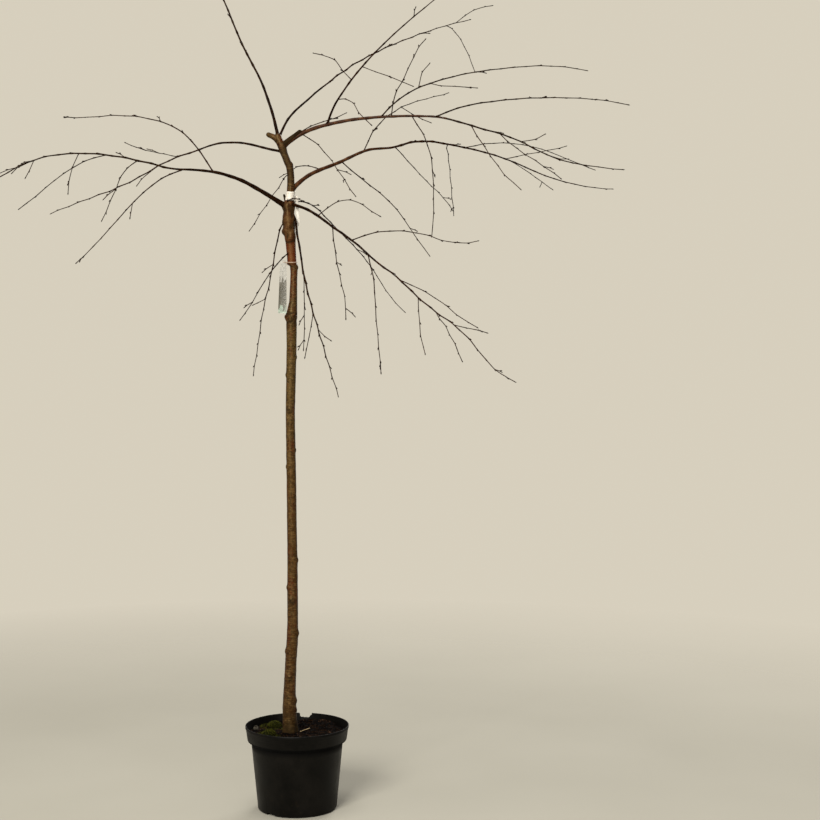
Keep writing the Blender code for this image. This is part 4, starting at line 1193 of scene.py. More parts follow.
class Tubes:
    """Many round limbs gathered into one mesh, each closed at both ends."""

    def __init__(self) -> None:
        """Starts with no limbs."""
        self.points: list[np.ndarray] = []
        self.places: list[np.ndarray] = []
        self.girths: list[np.ndarray] = []
        self.marks: list[np.ndarray] = []
        self.faces: list[tuple[int, ...]] = []
        self.tints: list[int] = []
        self.count = 0

    @staticmethod
    def sides_of(line: np.ndarray) -> tuple[np.ndarray, np.ndarray]:
        """Two directions square to the line at each point, that don't twist along it."""
        ahead = np.gradient(line, axis=0)
        ahead /= np.linalg.norm(ahead, axis=1)[:, None]
        first = np.cross(ahead[0], (0.0, 0.0, 1.0))
        if np.linalg.norm(first) < 0.1:
            first = np.cross(ahead[0], (1.0, 0.0, 0.0))
        across = np.empty_like(line)
        side = first / np.linalg.norm(first)
        for i, way in enumerate(ahead):
            side = side - way * side.dot(way)
            side /= math.sqrt(side.dot(side))
            across[i] = side
        return across, np.cross(ahead, across)

    def add(
        self, line: np.ndarray, radii: np.ndarray, sides: int, tint: int = 0,
        marks: np.ndarray | None = None,
    ) -> None:
        """Adds one limb, with a round tip.

        Args:
            line: Its line, one row each.
            radii: Its radius at each point.
            sides: How many sides it has.
            tint: Which of the materials it takes.
            marks: How dark it is at each point, 0 to 1.
        """
        ahead = line[-1] - line[-2]
        ahead /= np.linalg.norm(ahead)
        end = radii[-1]
        line = np.vstack([line, line[-1] + ahead * 0.55 * end, line[-1] + ahead * 0.9 * end])
        radii = np.concatenate([radii, [0.82 * end, 0.4 * end]])
        marks = np.zeros(len(radii)) if marks is None else np.concatenate([marks, [marks[-1], marks[-1]]])
        across, up = self.sides_of(line)
        angles = 2 * np.pi * np.arange(sides) / sides
        cosines, sines = np.cos(angles), np.sin(angles)
        spokes = across[:, None] * cosines[None, :, None] + up[:, None] * sines[None, :, None]
        length = np.concatenate([[0.0], np.cumsum(np.linalg.norm(np.diff(line, axis=0), axis=1))])
        far = np.repeat((length + 0.173 * len(self.points))[:, None], sides, axis=1)
        place = np.stack([radii[:, None] * cosines, radii[:, None] * sines, far], axis=-1)
        self.points.append((line[:, None] + radii[:, None, None] * spokes).reshape(-1, 3))
        self.places.append(place.reshape(-1, 3))
        self.girths.append(np.repeat(2 * radii / THICK_BOUGH, sides))
        self.marks.append(np.repeat(marks, sides))
        first, rings = self.count, len(line)
        self.faces.extend(between_rings(first, rings, sides))
        self.faces.append(tuple(range(first + sides - 1, first - 1, -1)))
        self.faces.append(tuple(range(first + (rings - 1) * sides, first + rings * sides)))
        self.tints.extend([tint] * ((rings - 1) * sides + 2))
        self.count += rings * sides

    def build(self, name: str) -> Object:
        """Makes one object of all the limbs.

        Args:
            name: Its name.

        Returns:
            The object, shaded smooth, with what the bark's finish reads.
        """
        obj = mesh_object(name, np.vstack(self.points), self.faces)
        obj.data.polygons.foreach_set("material_index", self.tints)
        obj.data.shade_smooth()
        store(obj, "bark_place", np.vstack(self.places))
        store(obj, "girth", np.concatenate(self.girths))
        store(obj, "scars_and_painted_shade", np.concatenate(self.marks))
        store(obj, "pores", np.zeros(self.count))
        return obj


class Copies:
    """Many small copies of a few modelled shapes, gathered into one mesh."""

    def __init__(self, shapes: Sequence[Object]) -> None:
        """Takes the shapes' meshes, and puts the shapes themselves away.

        Args:
            shapes: The modelled shapes, each about 1 across.
        """
        self.shapes = []
        for shape in shapes:
            points, _ = mesh_points(shape)
            self.shapes.append((points, [tuple(face.vertices) for face in shape.data.polygons]))
            bpy.data.objects.remove(shape, do_unlink=True)
        self.points: list[np.ndarray] = []
        self.faces: list[tuple[int, ...]] = []
        self.tints: list[int] = []
        self.count = 0

    def add(self, matrix: Matrix, tint: int = 0, shape: int = 0) -> None:
        """Adds a copy.

        Args:
            matrix: Its place, turn and size.
            tint: Which of the materials it takes.
            shape: Which shape it is.
        """
        points, faces = self.shapes[shape]
        turn = np.array(matrix)
        self.points.append(points @ turn[:3, :3].T + turn[:3, 3])
        self.faces.extend(tuple(self.count + corner for corner in face) for face in faces)
        self.tints.extend([tint] * len(faces))
        self.count += len(points)

    def stand(self, foot: Vector, way: Vector, wide: float, tall: float, tint: int) -> None:
        """Adds a copy of the first shape that stands on this foot and points this way."""
        turn = way.to_track_quat("Z", "Y").to_matrix().to_4x4()
        self.add(Matrix.Translation(foot) @ turn @ Matrix.Diagonal((wide, wide, tall, 1)), tint)

    def build(self, name: str) -> Object:
        """Makes one object of all the copies."""
        obj = mesh_object(name, np.vstack(self.points), self.faces)
        obj.data.polygons.foreach_set("material_index", self.tints)
        obj.data.shade_smooth()
        return obj


@dataclass(frozen=True)
class LimbShape:
    """How a grown line becomes a round limb."""

    spacing: float  # How far apart its rings are
    ease: float  # How softly it bends at a bud: 0 is a corner
    swelling: float  # How much thicker it is at a bud
    collar: float  # How much thicker it is where it leaves its bearer
    trim: float = 0.0  # What is left off at the tip, for the end bud

    def line(self, shoot: Shoot) -> tuple[np.ndarray, np.ndarray, np.ndarray]:
        """The smooth line of a shoot.

        Args:
            shoot: The grown shoot.

        Returns:
            Its points, its radii and how dark it is at each point.
        """
        knots = np.array([tuple(point) for point in shoot.points])
        if self.trim and not shoot.after:
            last = knots[-1] - knots[-2]
            knots[-1] -= last / np.linalg.norm(last) * self.trim
        slopes = np.empty_like(knots)
        slopes[1:-1] = self.ease * (knots[2:] - knots[:-2])
        slopes[0], slopes[-1] = knots[1] - knots[0], knots[-1] - knots[-2]
        if shoot.before:
            slopes[0] = 0.5 * (knots[1] - np.array(shoot.before))
        if shoot.after:
            slopes[-1] = 0.5 * (np.array(shoot.after) - knots[-2])
        pieces, shares = [], []
        for i in range(len(knots) - 1):
            count = max(2, round(np.linalg.norm(knots[i + 1] - knots[i]) / self.spacing))
            t = (np.arange(count) / count)[:, None]
            pieces.append(
                (2 * t**3 - 3 * t**2 + 1) * knots[i]
                + (t**3 - 2 * t**2 + t) * slopes[i]
                + (-2 * t**3 + 3 * t**2) * knots[i + 1]
                + (t**3 - t**2) * slopes[i + 1]
            )
            shares.append(i + t[:, 0])
        line = np.vstack([*pieces, knots[-1:]])
        share = np.concatenate([*shares, [len(knots) - 1]])
        radii = np.interp(share, np.arange(len(knots)), shoot.radii)
        return line, *self.fleshed(line, share, radii, shoot.bearer)

    def fleshed(
        self, line: np.ndarray, share: np.ndarray, radii: np.ndarray, bearer: float
    ) -> tuple[np.ndarray, np.ndarray]:
        """Adds the collar and the swellings to a limb's radii.

        Args:
            line: Its points.
            share: How many buds on each point is.
            radii: Its plain radii.
            bearer: The radius of what it leaves.

        Returns:
            The radii, and how dark it is at each point.
        """
        length = np.concatenate([[0.0], np.cumsum(np.linalg.norm(np.diff(line, axis=0), axis=1))])
        off = np.abs(share - np.round(share)) * BUD_SPACING
        bud = bell(off, 0, 2.2 * radii + 0.0006) * (share > 0.5)
        beyond = np.maximum(0, length - bearer) if bearer else np.full(len(radii), np.inf)
        grown = radii * (1 + self.swelling * bud + self.collar * np.exp(-beyond / (1.8 * radii[0])))
        return grown, np.clip(0.35 * bud + 0.8 * np.exp(-beyond / 0.002), 0, 1)


def roughen(obj: Object, swells: Sequence[tuple[float, float, float]]) -> None:
    """Gives a limb's surface its unevenness.

    Args:
        obj: The limb, with the places on its bark.
        swells: For each kind of swelling its size, its stretch along the limb, and its height, in metres.
    """
    count = len(obj.data.vertices)
    places = np.empty(count * 3, np.float32)
    obj.data.attributes["bark_place"].data.foreach_get("vector", places)
    places = places.reshape(-1, 3).astype(float)
    points, normals = mesh_points(obj)
    for size, stretch, height in swells:
        points += normals * (height * ripple(places / (1, 1, stretch), size))[:, None]
    set_points(obj, points)


@dataclass
class Trunk:
    """The stem: lofted ring by ring, smoothed, then given the relief of young birch bark."""

    spacing: float = 0.005
    sides: int = 16
    shrinking: float = 0.9746  # What smoothing leaves of a ring, made good beforehand
    pore_count: int = 1700
    pore_widths: tuple[float, float] = (0.0008, 0.0028)  # Half widths
    pore_tall: float = 0.0006  # Half its height
    pore_height: float = 0.0003  # How far it stands out
    wide_pores: float = 0.4  # The share that is wider than the least
    pore_levels: tuple[float, float] = (0.21, 1.55)
    poreless: Pairs = ((1.14, 1.19), (1.28, 1.45))  # The old collar and the graft

    def levels(self) -> list[float]:
        """The heights of the modelled rings."""
        low, high = STEM_RINGS[0][0], STEM_RINGS[-1][0]
        count = round((high - low) / self.spacing)
        return [low + (high - low) * i / count for i in range(count + 1)]

    def loft(self) -> Object:
        """Draws a ring up the stem, one step at a time, and smooths the result.

        Returns:
            The smooth stem, with no relief yet.
        """
        levels = self.levels()
        centres = [Stem.axis(level) for level in levels]
        widths = []
        for i, level in enumerate(levels):
            low, high = centres[max(0, i - 1)], centres[min(len(levels) - 1, i + 1)]
            rise = high.z - low.z
            radius = Stem.radius(level) / self.shrinking
            lean = [math.hypot(1, (high[axis] - low[axis]) / rise) for axis in (0, 1)]
            widths.append([radius * stretch for stretch in lean])
        bpy.ops.mesh.primitive_circle_add(
            vertices=self.sides, radius=1, fill_type="NGON", location=centres[0]
        )
        stem = Bench.fresh("birch_stem")
        Bench.settle(stem)
        with Bench.editing(stem):
            bpy.ops.transform.resize(value=(*widths[0], 1), center_override=centres[0])
            for i in range(1, len(levels)):
                step = centres[i] - centres[i - 1]
                bpy.ops.mesh.extrude_region_move(TRANSFORM_OT_translate={"value": step})
                change = [new / old for new, old in zip(widths[i], widths[i - 1])]
                bpy.ops.transform.resize(value=(*change, 1), center_override=centres[i])
        Bench.close(stem)
        with Bench.editing(stem) as mesh:
            bpy.ops.mesh.select_all(action="DESELECT")
            for face in mesh.faces:
                face.select = len(face.verts) > 4
            bpy.ops.mesh.inset(thickness=0.0015)
        Bench.modify(stem, "SUBSURF", levels=2, render_levels=2)
        stem.data.shade_smooth()
        return stem

    @staticmethod
    def polar(points: np.ndarray) -> tuple[np.ndarray, np.ndarray]:
        """Each point's bearing round the stem, in radians, and the stem's radius there."""
        x, y, wide = Stem.ring(points[:, 2])
        return np.arctan2(points[:, 1] - y, points[:, 0] - x), wide / 2

    def pores(self, height: np.ndarray, bearing: np.ndarray, radius: np.ndarray) -> np.ndarray:
        """How much of a pore there is at each point.

        Args:
            height: The points' heights.
            bearing: Their bearings.
            radius: The stem's radius there.

        Returns:
            0 between the pores, 1 at the middle of one.
        """
        dice = random.Random("pores of the stem")
        order = np.argsort(height)
        ordered = height[order]
        found = np.zeros(len(height))
        for _ in range(self.pore_count):
            level, side = dice.uniform(*self.pore_levels), dice.uniform(-math.pi, math.pi)
            wide = dice.uniform(*self.pore_widths) if dice.random() < self.wide_pores else self.pore_widths[0]
            if any(low < level < high for low, high in self.poreless):
                continue
            reach = 5 * self.pore_tall
            low, high = np.searchsorted(ordered, (level - reach, level + reach))
            near = order[low:high]
            turn = (bearing[near] - side + math.pi) % (2 * math.pi) - math.pi
            across = turn * radius[near] / wide
            up = (height[near] - level) / self.pore_tall
            found[near] = np.maximum(found[near], np.exp(-(across**2) - up**2))
        return found

    def relief(self, stem: Object, growth: Growth) -> None:
        """Gives the surface its lobes, knots, graft, pores and grain, and notes its pores, its scars and its
        painted shade.

        Args:
            stem: The smooth stem.
            growth: The limbs, round whose feet the stem is painted darker, as shade in the crotches.
        """
        points, normals = mesh_points(stem)
        height = points[:, 2].copy()
        bearing, radius = self.polar(points)
        pores = self.pores(height, bearing, radius)
        left, away_from_right = np.clip(-np.cos(bearing), 0, 1), np.clip(0.5 - np.cos(bearing), 0, 1)
        foot, collar = bell(height, *FLARE), bell(height, *OLD_COLLAR)
        graft = within(height, *GRAFT)
        lump, furrow = ripple(points, 0.014), ripple(points / (1, 1, 2.6) + 7.7, 0.0075)
        waving = height - 0.002 * np.cos(2 * bearing + 1.0)
        out = self.pore_height * pores + 0.0016 * foot * np.cos(5 * bearing + 0.8 * np.sin(2 * bearing))
        out += graft * (0.0019 * lump + 0.0012 * furrow) + collar * 0.0013 * ripple(points + 1.7, 0.009)
        out += 0.0011 * bell(waving, 1.35, 0.006)
        for level, tall, rise in LEFT_SWELLINGS:
            out += left * rise * bell(height, level, tall)
        marks = [
            np.clip(0.9 * foot, 0, 0.8),
            # Painted shade under the lip at the foot of the graft
            0.85 * bell(waving, 1.3415, 0.003),
            0.45 * within(height, *HEAD_ZONE),
            0.8 * graft * np.clip(-0.7 - 4.5 * furrow, 0, 1),
            0.55 * graft * np.clip(-0.6 - 3.5 * lump, 0, 1),
            0.85 * np.clip(1.6 * collar, 0, 1) * bell(ripple(points / (1, 1, 0.6) + 2.9, 0.01), 0, 0.16),
            0.9 * bell(height, *OLD_CUT) * away_from_right,
        ]
        # Painted shade in the collar's creases, strongest on the front left of the stem
        facing = np.clip(0.55 - 0.7 * np.cos(bearing - 0.785), 0, 1)
        for level, thick, dark in COLLAR_CREASES:
            waving = level + 0.0025 * np.sin(2 * bearing + 90 * level) + 0.0012 * np.sin(5 * bearing)
            crease = bell(height, waving, thick) * facing
            out -= 0.0009 * crease
            marks.append(dark * crease)
        for level, side, wide in STEM_KNOTS:
            middle = Stem.axis(level) + direction(side, 0) * Stem.radius(level)
            away = np.linalg.norm((points - np.array(middle)) / (1, 1, 1.25), axis=1) / (wide / 2)
            out += 0.3 * wide * bell(away, 0, 1) - 0.1 * wide * bell(away, 0, 0.3)
            marks.append(0.9 * bell(away, 0, 0.55) + 0.4 * bell(away, 1.2, 0.3))
        for shoot in growth.shoots.values():
            if shoot.limb.parent == "trunk":
                start, after = shoot.points[:2]
                leaving = start + (after - start).normalized() * shoot.bearer
                away = np.linalg.norm(points - np.array(leaving), axis=1) / (shoot.radii[0] + 0.0015)
                out += 0.22 * shoot.radii[0] * bell(away, 0, 1.4)
                # Painted shade in the crotch round the foot of each limb
                marks.append(0.75 * bell(away, 0, 0.95))
        out += 0.00028 * ripple(points / (1, 1, 7), 0.004) + 0.00035 * ripple(points + 3.1, 0.016)
        out += 0.00012 * ripple(points + 5.3, 0.0022)
        red = within(height, *RED_ZONE)
        store(stem, "bark_place", points)
        store(stem, "girth", 2 * radius / THICK_BOUGH)
        store(stem, "smoothness", np.maximum(0.85 * red, 0.6 * graft))
        store(stem, "pores", pores)
        # Scars and dark marks, with painted shade in the crotches, the collar's creases and under the graft's
        # lip
        store(stem, "scars_and_painted_shade", np.clip(np.maximum.reduce(marks), 0, 1))
        set_points(stem, points + normals * out[:, None])
        self.level_foot(stem)

    @staticmethod
    def level_foot(stem: Object) -> None:
        """Keeps the foot flat at the level of the compost."""
        points, _ = mesh_points(stem)
        points[:, 2] = np.maximum(points[:, 2], STEM_RINGS[0][0])
        set_points(stem, points)

    def build(self, growth: Growth, effects: Effects) -> None:
        """Builds the stem and its cut stubs.

        Args:
            growth: The tree's limbs.
            effects: The shared effects.
        """
        stem = self.loft()
        self.relief(stem, growth)
        bark = TRUNK_BARK.material(effects)
        dress(stem, [bark], ["trunk"])
        shape = LimbShape(spacing=0.0012, ease=0.5, swelling=0.05, collar=0.28)
        stubs = Tubes()
        for limb, age in zip(STUBS, STUB_DARKNESS):
            line, radii, marks = shape.line(growth.shoots[limb.name])
            share = np.linspace(0, 1, len(radii))
            stubs.add(line, radii, 28, 0, np.maximum(marks, 0.5 * np.clip(5 * share - 3.4, 0, 1) + age))
        piece = stubs.build("cut_stubs")
        roughen(piece, ((0.01, 1.5, 0.0008), (0.003, 4, 0.0004)))
        dress(piece, [bark], ["trunk"])


@dataclass
class Boughs:
    """The main boughs, each its own piece with the bark's relief."""

    shape: LimbShape = LimbShape(spacing=0.0016, ease=0.5, swelling=0.1, collar=0.45)
    sides: int = 20

    def build(self, growth: Growth, effects: Effects) -> None:
        """Builds the boughs.

        Args:
            growth: The tree's limbs.
            effects: The shared effects.
        """
        red, dark = RED_BARK.material(effects), DARK_BARK.material(effects)
        for limb in BOUGHS:
            tubes = Tubes()
            line, radii, marks = self.shape.line(growth.shoots[limb.name])
            tubes.add(line, radii, self.sides, 0, marks)
            piece = tubes.build("bark_of_" + limb.name)
            roughen(piece, ((0.016, 2.5, 0.0005), (0.003, 5, 0.00022), (0.0012, 1, 0.00008)))
            dress(piece, [red if limb.name in RED_BOUGHS else dark], [limb.name])


@dataclass
class Twigs:
    """All fine growth: shoots, side twigs, short spurs and buds."""

    shape: LimbShape = LimbShape(spacing=0.0022, ease=0.36, swelling=0.3, collar=0.35, trim=0.007)
    least: float = 0.00095
    spur_chance: float = 0.06
    spur_lengths: tuple[float, float] = (0.002, 0.0045)
    bud_lengths: tuple[float, float] = (0.0044, 0.0064)
    bud_rings: Pairs = (
        (0.16, 0.17), (0.22, 0.19), (0.26, 0.14), (0.24, 0.065), (0.12, 0.012),
    )
    bud_angle: float = 24.0  # How far a bud stands off its twig, in degrees

    @staticmethod
    def outside(points: Sequence[Vector], i: int, dice: random.Random) -> Vector:
        """The side that a limb turns away from at this bud."""
        bend = points[i] - points[i - 1].lerp(points[i + 1], 0.5)
        ahead = (points[i + 1] - points[i - 1]).normalized()
        bend += Vector([dice.uniform(-0.0004, 0.0004) for _ in range(3)])
        side = bend - ahead * bend.dot(ahead)
        return side.normalized()

    def set_bud(
        self, buds: Copies, place: Vector, ahead: Vector, side: Vector, radius: float, dice: random.Random
    ) -> None:
        """Sets a bud on a twig.

        Args:
            buds: The buds so far.
            place: The middle of the twig there.
            ahead: The way the twig runs.
            side: The side that the bud is on. Zero for an end bud.
            radius: The twig's radius.
            dice: The chances.
        """
        length = dice.uniform(*self.bud_lengths)
        angle = math.radians(self.bud_angle * dice.uniform(0.7, 1.15))
        way = (ahead * math.cos(angle) + side * math.sin(angle)).normalized() if side.length else ahead
        tint = dice.randrange(len(BUD_SCALES))
        buds.stand(place + side * 0.7 * radius, way, 1.25 * length, length, tint)

    def add_shoot(self, tubes: Tubes, buds: Copies, shoot: Shoot) -> None:
        """Adds a shoot with its spurs and buds.

        Args:
            tubes: The limbs of its spray.
            buds: The buds of its spray.
            shoot: The shoot.
        """
        dice = random.Random(shoot.key + ".buds")
        tint = dice.randrange(len(TWIG_BARKS))
        line, radii, marks = self.shape.line(shoot)
        sides = 14 if radii[0] > 0.0021 else 10 if radii[0] > 0.0013 else 8
        tubes.add(line, np.maximum(radii, self.least), sides, tint, marks)
        points = shoot.points
        for i in range(1, len(points) - 1):
            ahead = (points[i + 1] - points[i - 1]).normalized()
            side = self.outside(points, i, dice)
            radius = max(shoot.radii[i], self.least)
            if dice.random() < self.spur_chance:
                self.add_spur(tubes, buds, points[i], ahead, side, tint, dice)
            else:
                self.set_bud(buds, points[i], ahead, side, 1.1 * radius, dice)
        ahead = (points[-1] - points[-2]).normalized()
        self.set_bud(buds, Vector(line[-1]), ahead, Vector((0, 0, 0)), radii[-1], dice)

    def add_spur(
        self, tubes: Tubes, buds: Copies, place: Vector, ahead: Vector, side: Vector, tint: int,
        dice: random.Random,
    ) -> None:
        """Adds a short ringed spur with a bud at its end."""
        length = dice.uniform(*self.spur_lengths)
        angle = math.radians(self.bud_angle * dice.uniform(1.0, 1.5))
        way = (ahead * math.cos(angle) + side * math.sin(angle)).normalized()
        tip = way.lerp(ahead, 0.25).normalized()
        share = np.linspace(0, 1, max(4, round(length / 0.0011)))[:, None]
        start, middle = np.array(place), np.array(place + way * 0.6 * length)
        end = middle + np.array(tip) * 0.4 * length
        line = (1 - share) ** 2 * start + 2 * share * (1 - share) * middle + share**2 * end
        rings = 1 + 0.16 * np.cos(share[:, 0] * length / 0.0022 * 2 * np.pi)
        tubes.add(line, 0.00092 * rings, 7, tint, 0.3 * (rings > 1))
        self.set_bud(buds, Vector(end), tip, Vector((0, 0, 0)), 0.0008, dice)

    def build(self, growth: Growth, effects: Effects) -> None:
        """Builds the twigs and the buds, spray by spray.

        Args:
            growth: The tree's limbs.
            effects: The shared effects.
        """
        barks = [finish.material(effects) for finish in TWIG_BARKS]
        scales = [finish.material(effects) for finish in BUD_SCALES]
        for spray, names in SPRAYS.items():
            masses = ["twigs_" + name for name in names]
            tubes, buds = Tubes(), Copies([Bench.draw_up("bud", 6, 0.09, self.bud_rings)])
            for mass in masses:
                shoots = [growth.shoots[f"{mass}.{limb.name}"] for limb in MASSES[mass]]
                for shoot in shoots + growth.twigs[mass]:
                    self.add_shoot(tubes, buds, shoot)
            piece = tubes.build("fine_twigs_of_the_" + spray)
            roughen(piece, ((0.01, 2, 0.00016), (0.0016, 3, 0.00006)))
            dress(piece, barks, masses)
            dress(buds.build("buds_of_the_" + spray), scales)


POT_FLOOR = 0.004
COMPOST_TOP = 0.184
STEM_FOOT = (-0.015, -0.02)
STEM_CLEARANCE = 0.0195
SOIL_REACH = 0.112


@dataclass
class Pot:
    """The round nursery pot: a spun wall with a deep rim band, a broken gap and drainage notches."""

    # The profile, radius and height: up the outside from the underside, then down the inside
    profile: Pairs = (
        (0.0, 0.0022), (0.079, 0.0022), (0.0805, 0.0), (0.0905, 0.0), (0.0935, 0.003), (0.1082, 0.157),
        (0.1092, 0.1588), (0.1168, 0.1642), (0.1178, 0.1662), (0.1214, 0.1918), (0.1226, 0.1934),
        (0.1226, 0.1984), (0.1222, 0.199), (0.1206, 0.199), (0.1203, 0.1975), (0.1157, 0.1655),
        (0.1062, 0.157), (0.0916, 0.0075), (0.088, POT_FLOOR), (0.0, POT_FLOOR),
    )
    steps: int = 176
    # The outline of the gap in the back of the rim, sideways and height
    gap: Pairs = (
        (-0.003, 0.204), (-0.0024, 0.1985), (-0.0006, 0.1958), (-0.001, 0.1925), (0.0014, 0.1896),
        (0.0042, 0.1889), (0.0068, 0.1898), (0.0104, 0.1882), (0.015, 0.1889), (0.0196, 0.1881),
        (0.0224, 0.1896), (0.024, 0.1928), (0.0276, 0.195), (0.0284, 0.1982), (0.03, 0.204),
    )
    notches: tuple[float, ...] = (111, 231, 351)  # Their bearings
    notch: tuple[float, float, float] = (0.012, 0.024, 0.006)  # Depth, width and height

    def spin(self) -> Object:
        """Spins the profile once round."""
        points = [(radius, 0, height) for radius, height in self.profile]
        pot = mesh_object("pot_wall", points, [], [(i, i + 1) for i in range(len(points) - 1)])
        with Bench.editing(pot):
            bpy.ops.mesh.spin(steps=self.steps, angle=2 * math.pi, center=(0, 0, 0), axis=(0, 0, 1))
        Bench.close(pot)
        return pot

    def gap_cutter(self) -> Object:
        """A block with the outline of the gap, set through the back of the rim."""
        block = mesh_object("gap", [(x, 0.105, z) for x, z in self.gap], [tuple(range(len(self.gap)))])
        with Bench.editing(block):
            bpy.ops.mesh.extrude_region_move(TRANSFORM_OT_translate={"value": (0, 0.03, 0)})
        Bench.close(block)
        return block

    def notch_cutter(self, bearing: float) -> Object:
        """A block with rounded edges where the wall meets the base."""
        depth, width, height = self.notch
        angle = math.radians(bearing)
        place = (0.0935 * math.cos(angle), 0.0935 * math.sin(angle), 0)
        bpy.ops.mesh.primitive_cube_add(
            size=1, location=place, rotation=(0, 0, angle), scale=(2 * depth, width, 2 * height)
        )
        block = Bench.fresh("notch")
        Bench.settle(block)
        Bench.modify(block, "BEVEL", width=0.0025, segments=4, limit_method="NONE")
        return block

    def build(self, effects: Effects) -> None:
        """Builds the pot."""
        pot = self.spin()
        for cutter in [self.gap_cutter(), *map(self.notch_cutter, self.notches)]:
            Bench.cut(pot, cutter)
        sharp = math.radians(35)
        Bench.modify(pot, "BEVEL", width=0.0003, segments=2, limit_method="ANGLE", angle_limit=sharp)
        Bench.smooth(pot, 35)
        dress(pot, [POT_PLASTIC.material(effects)], ["pot"])


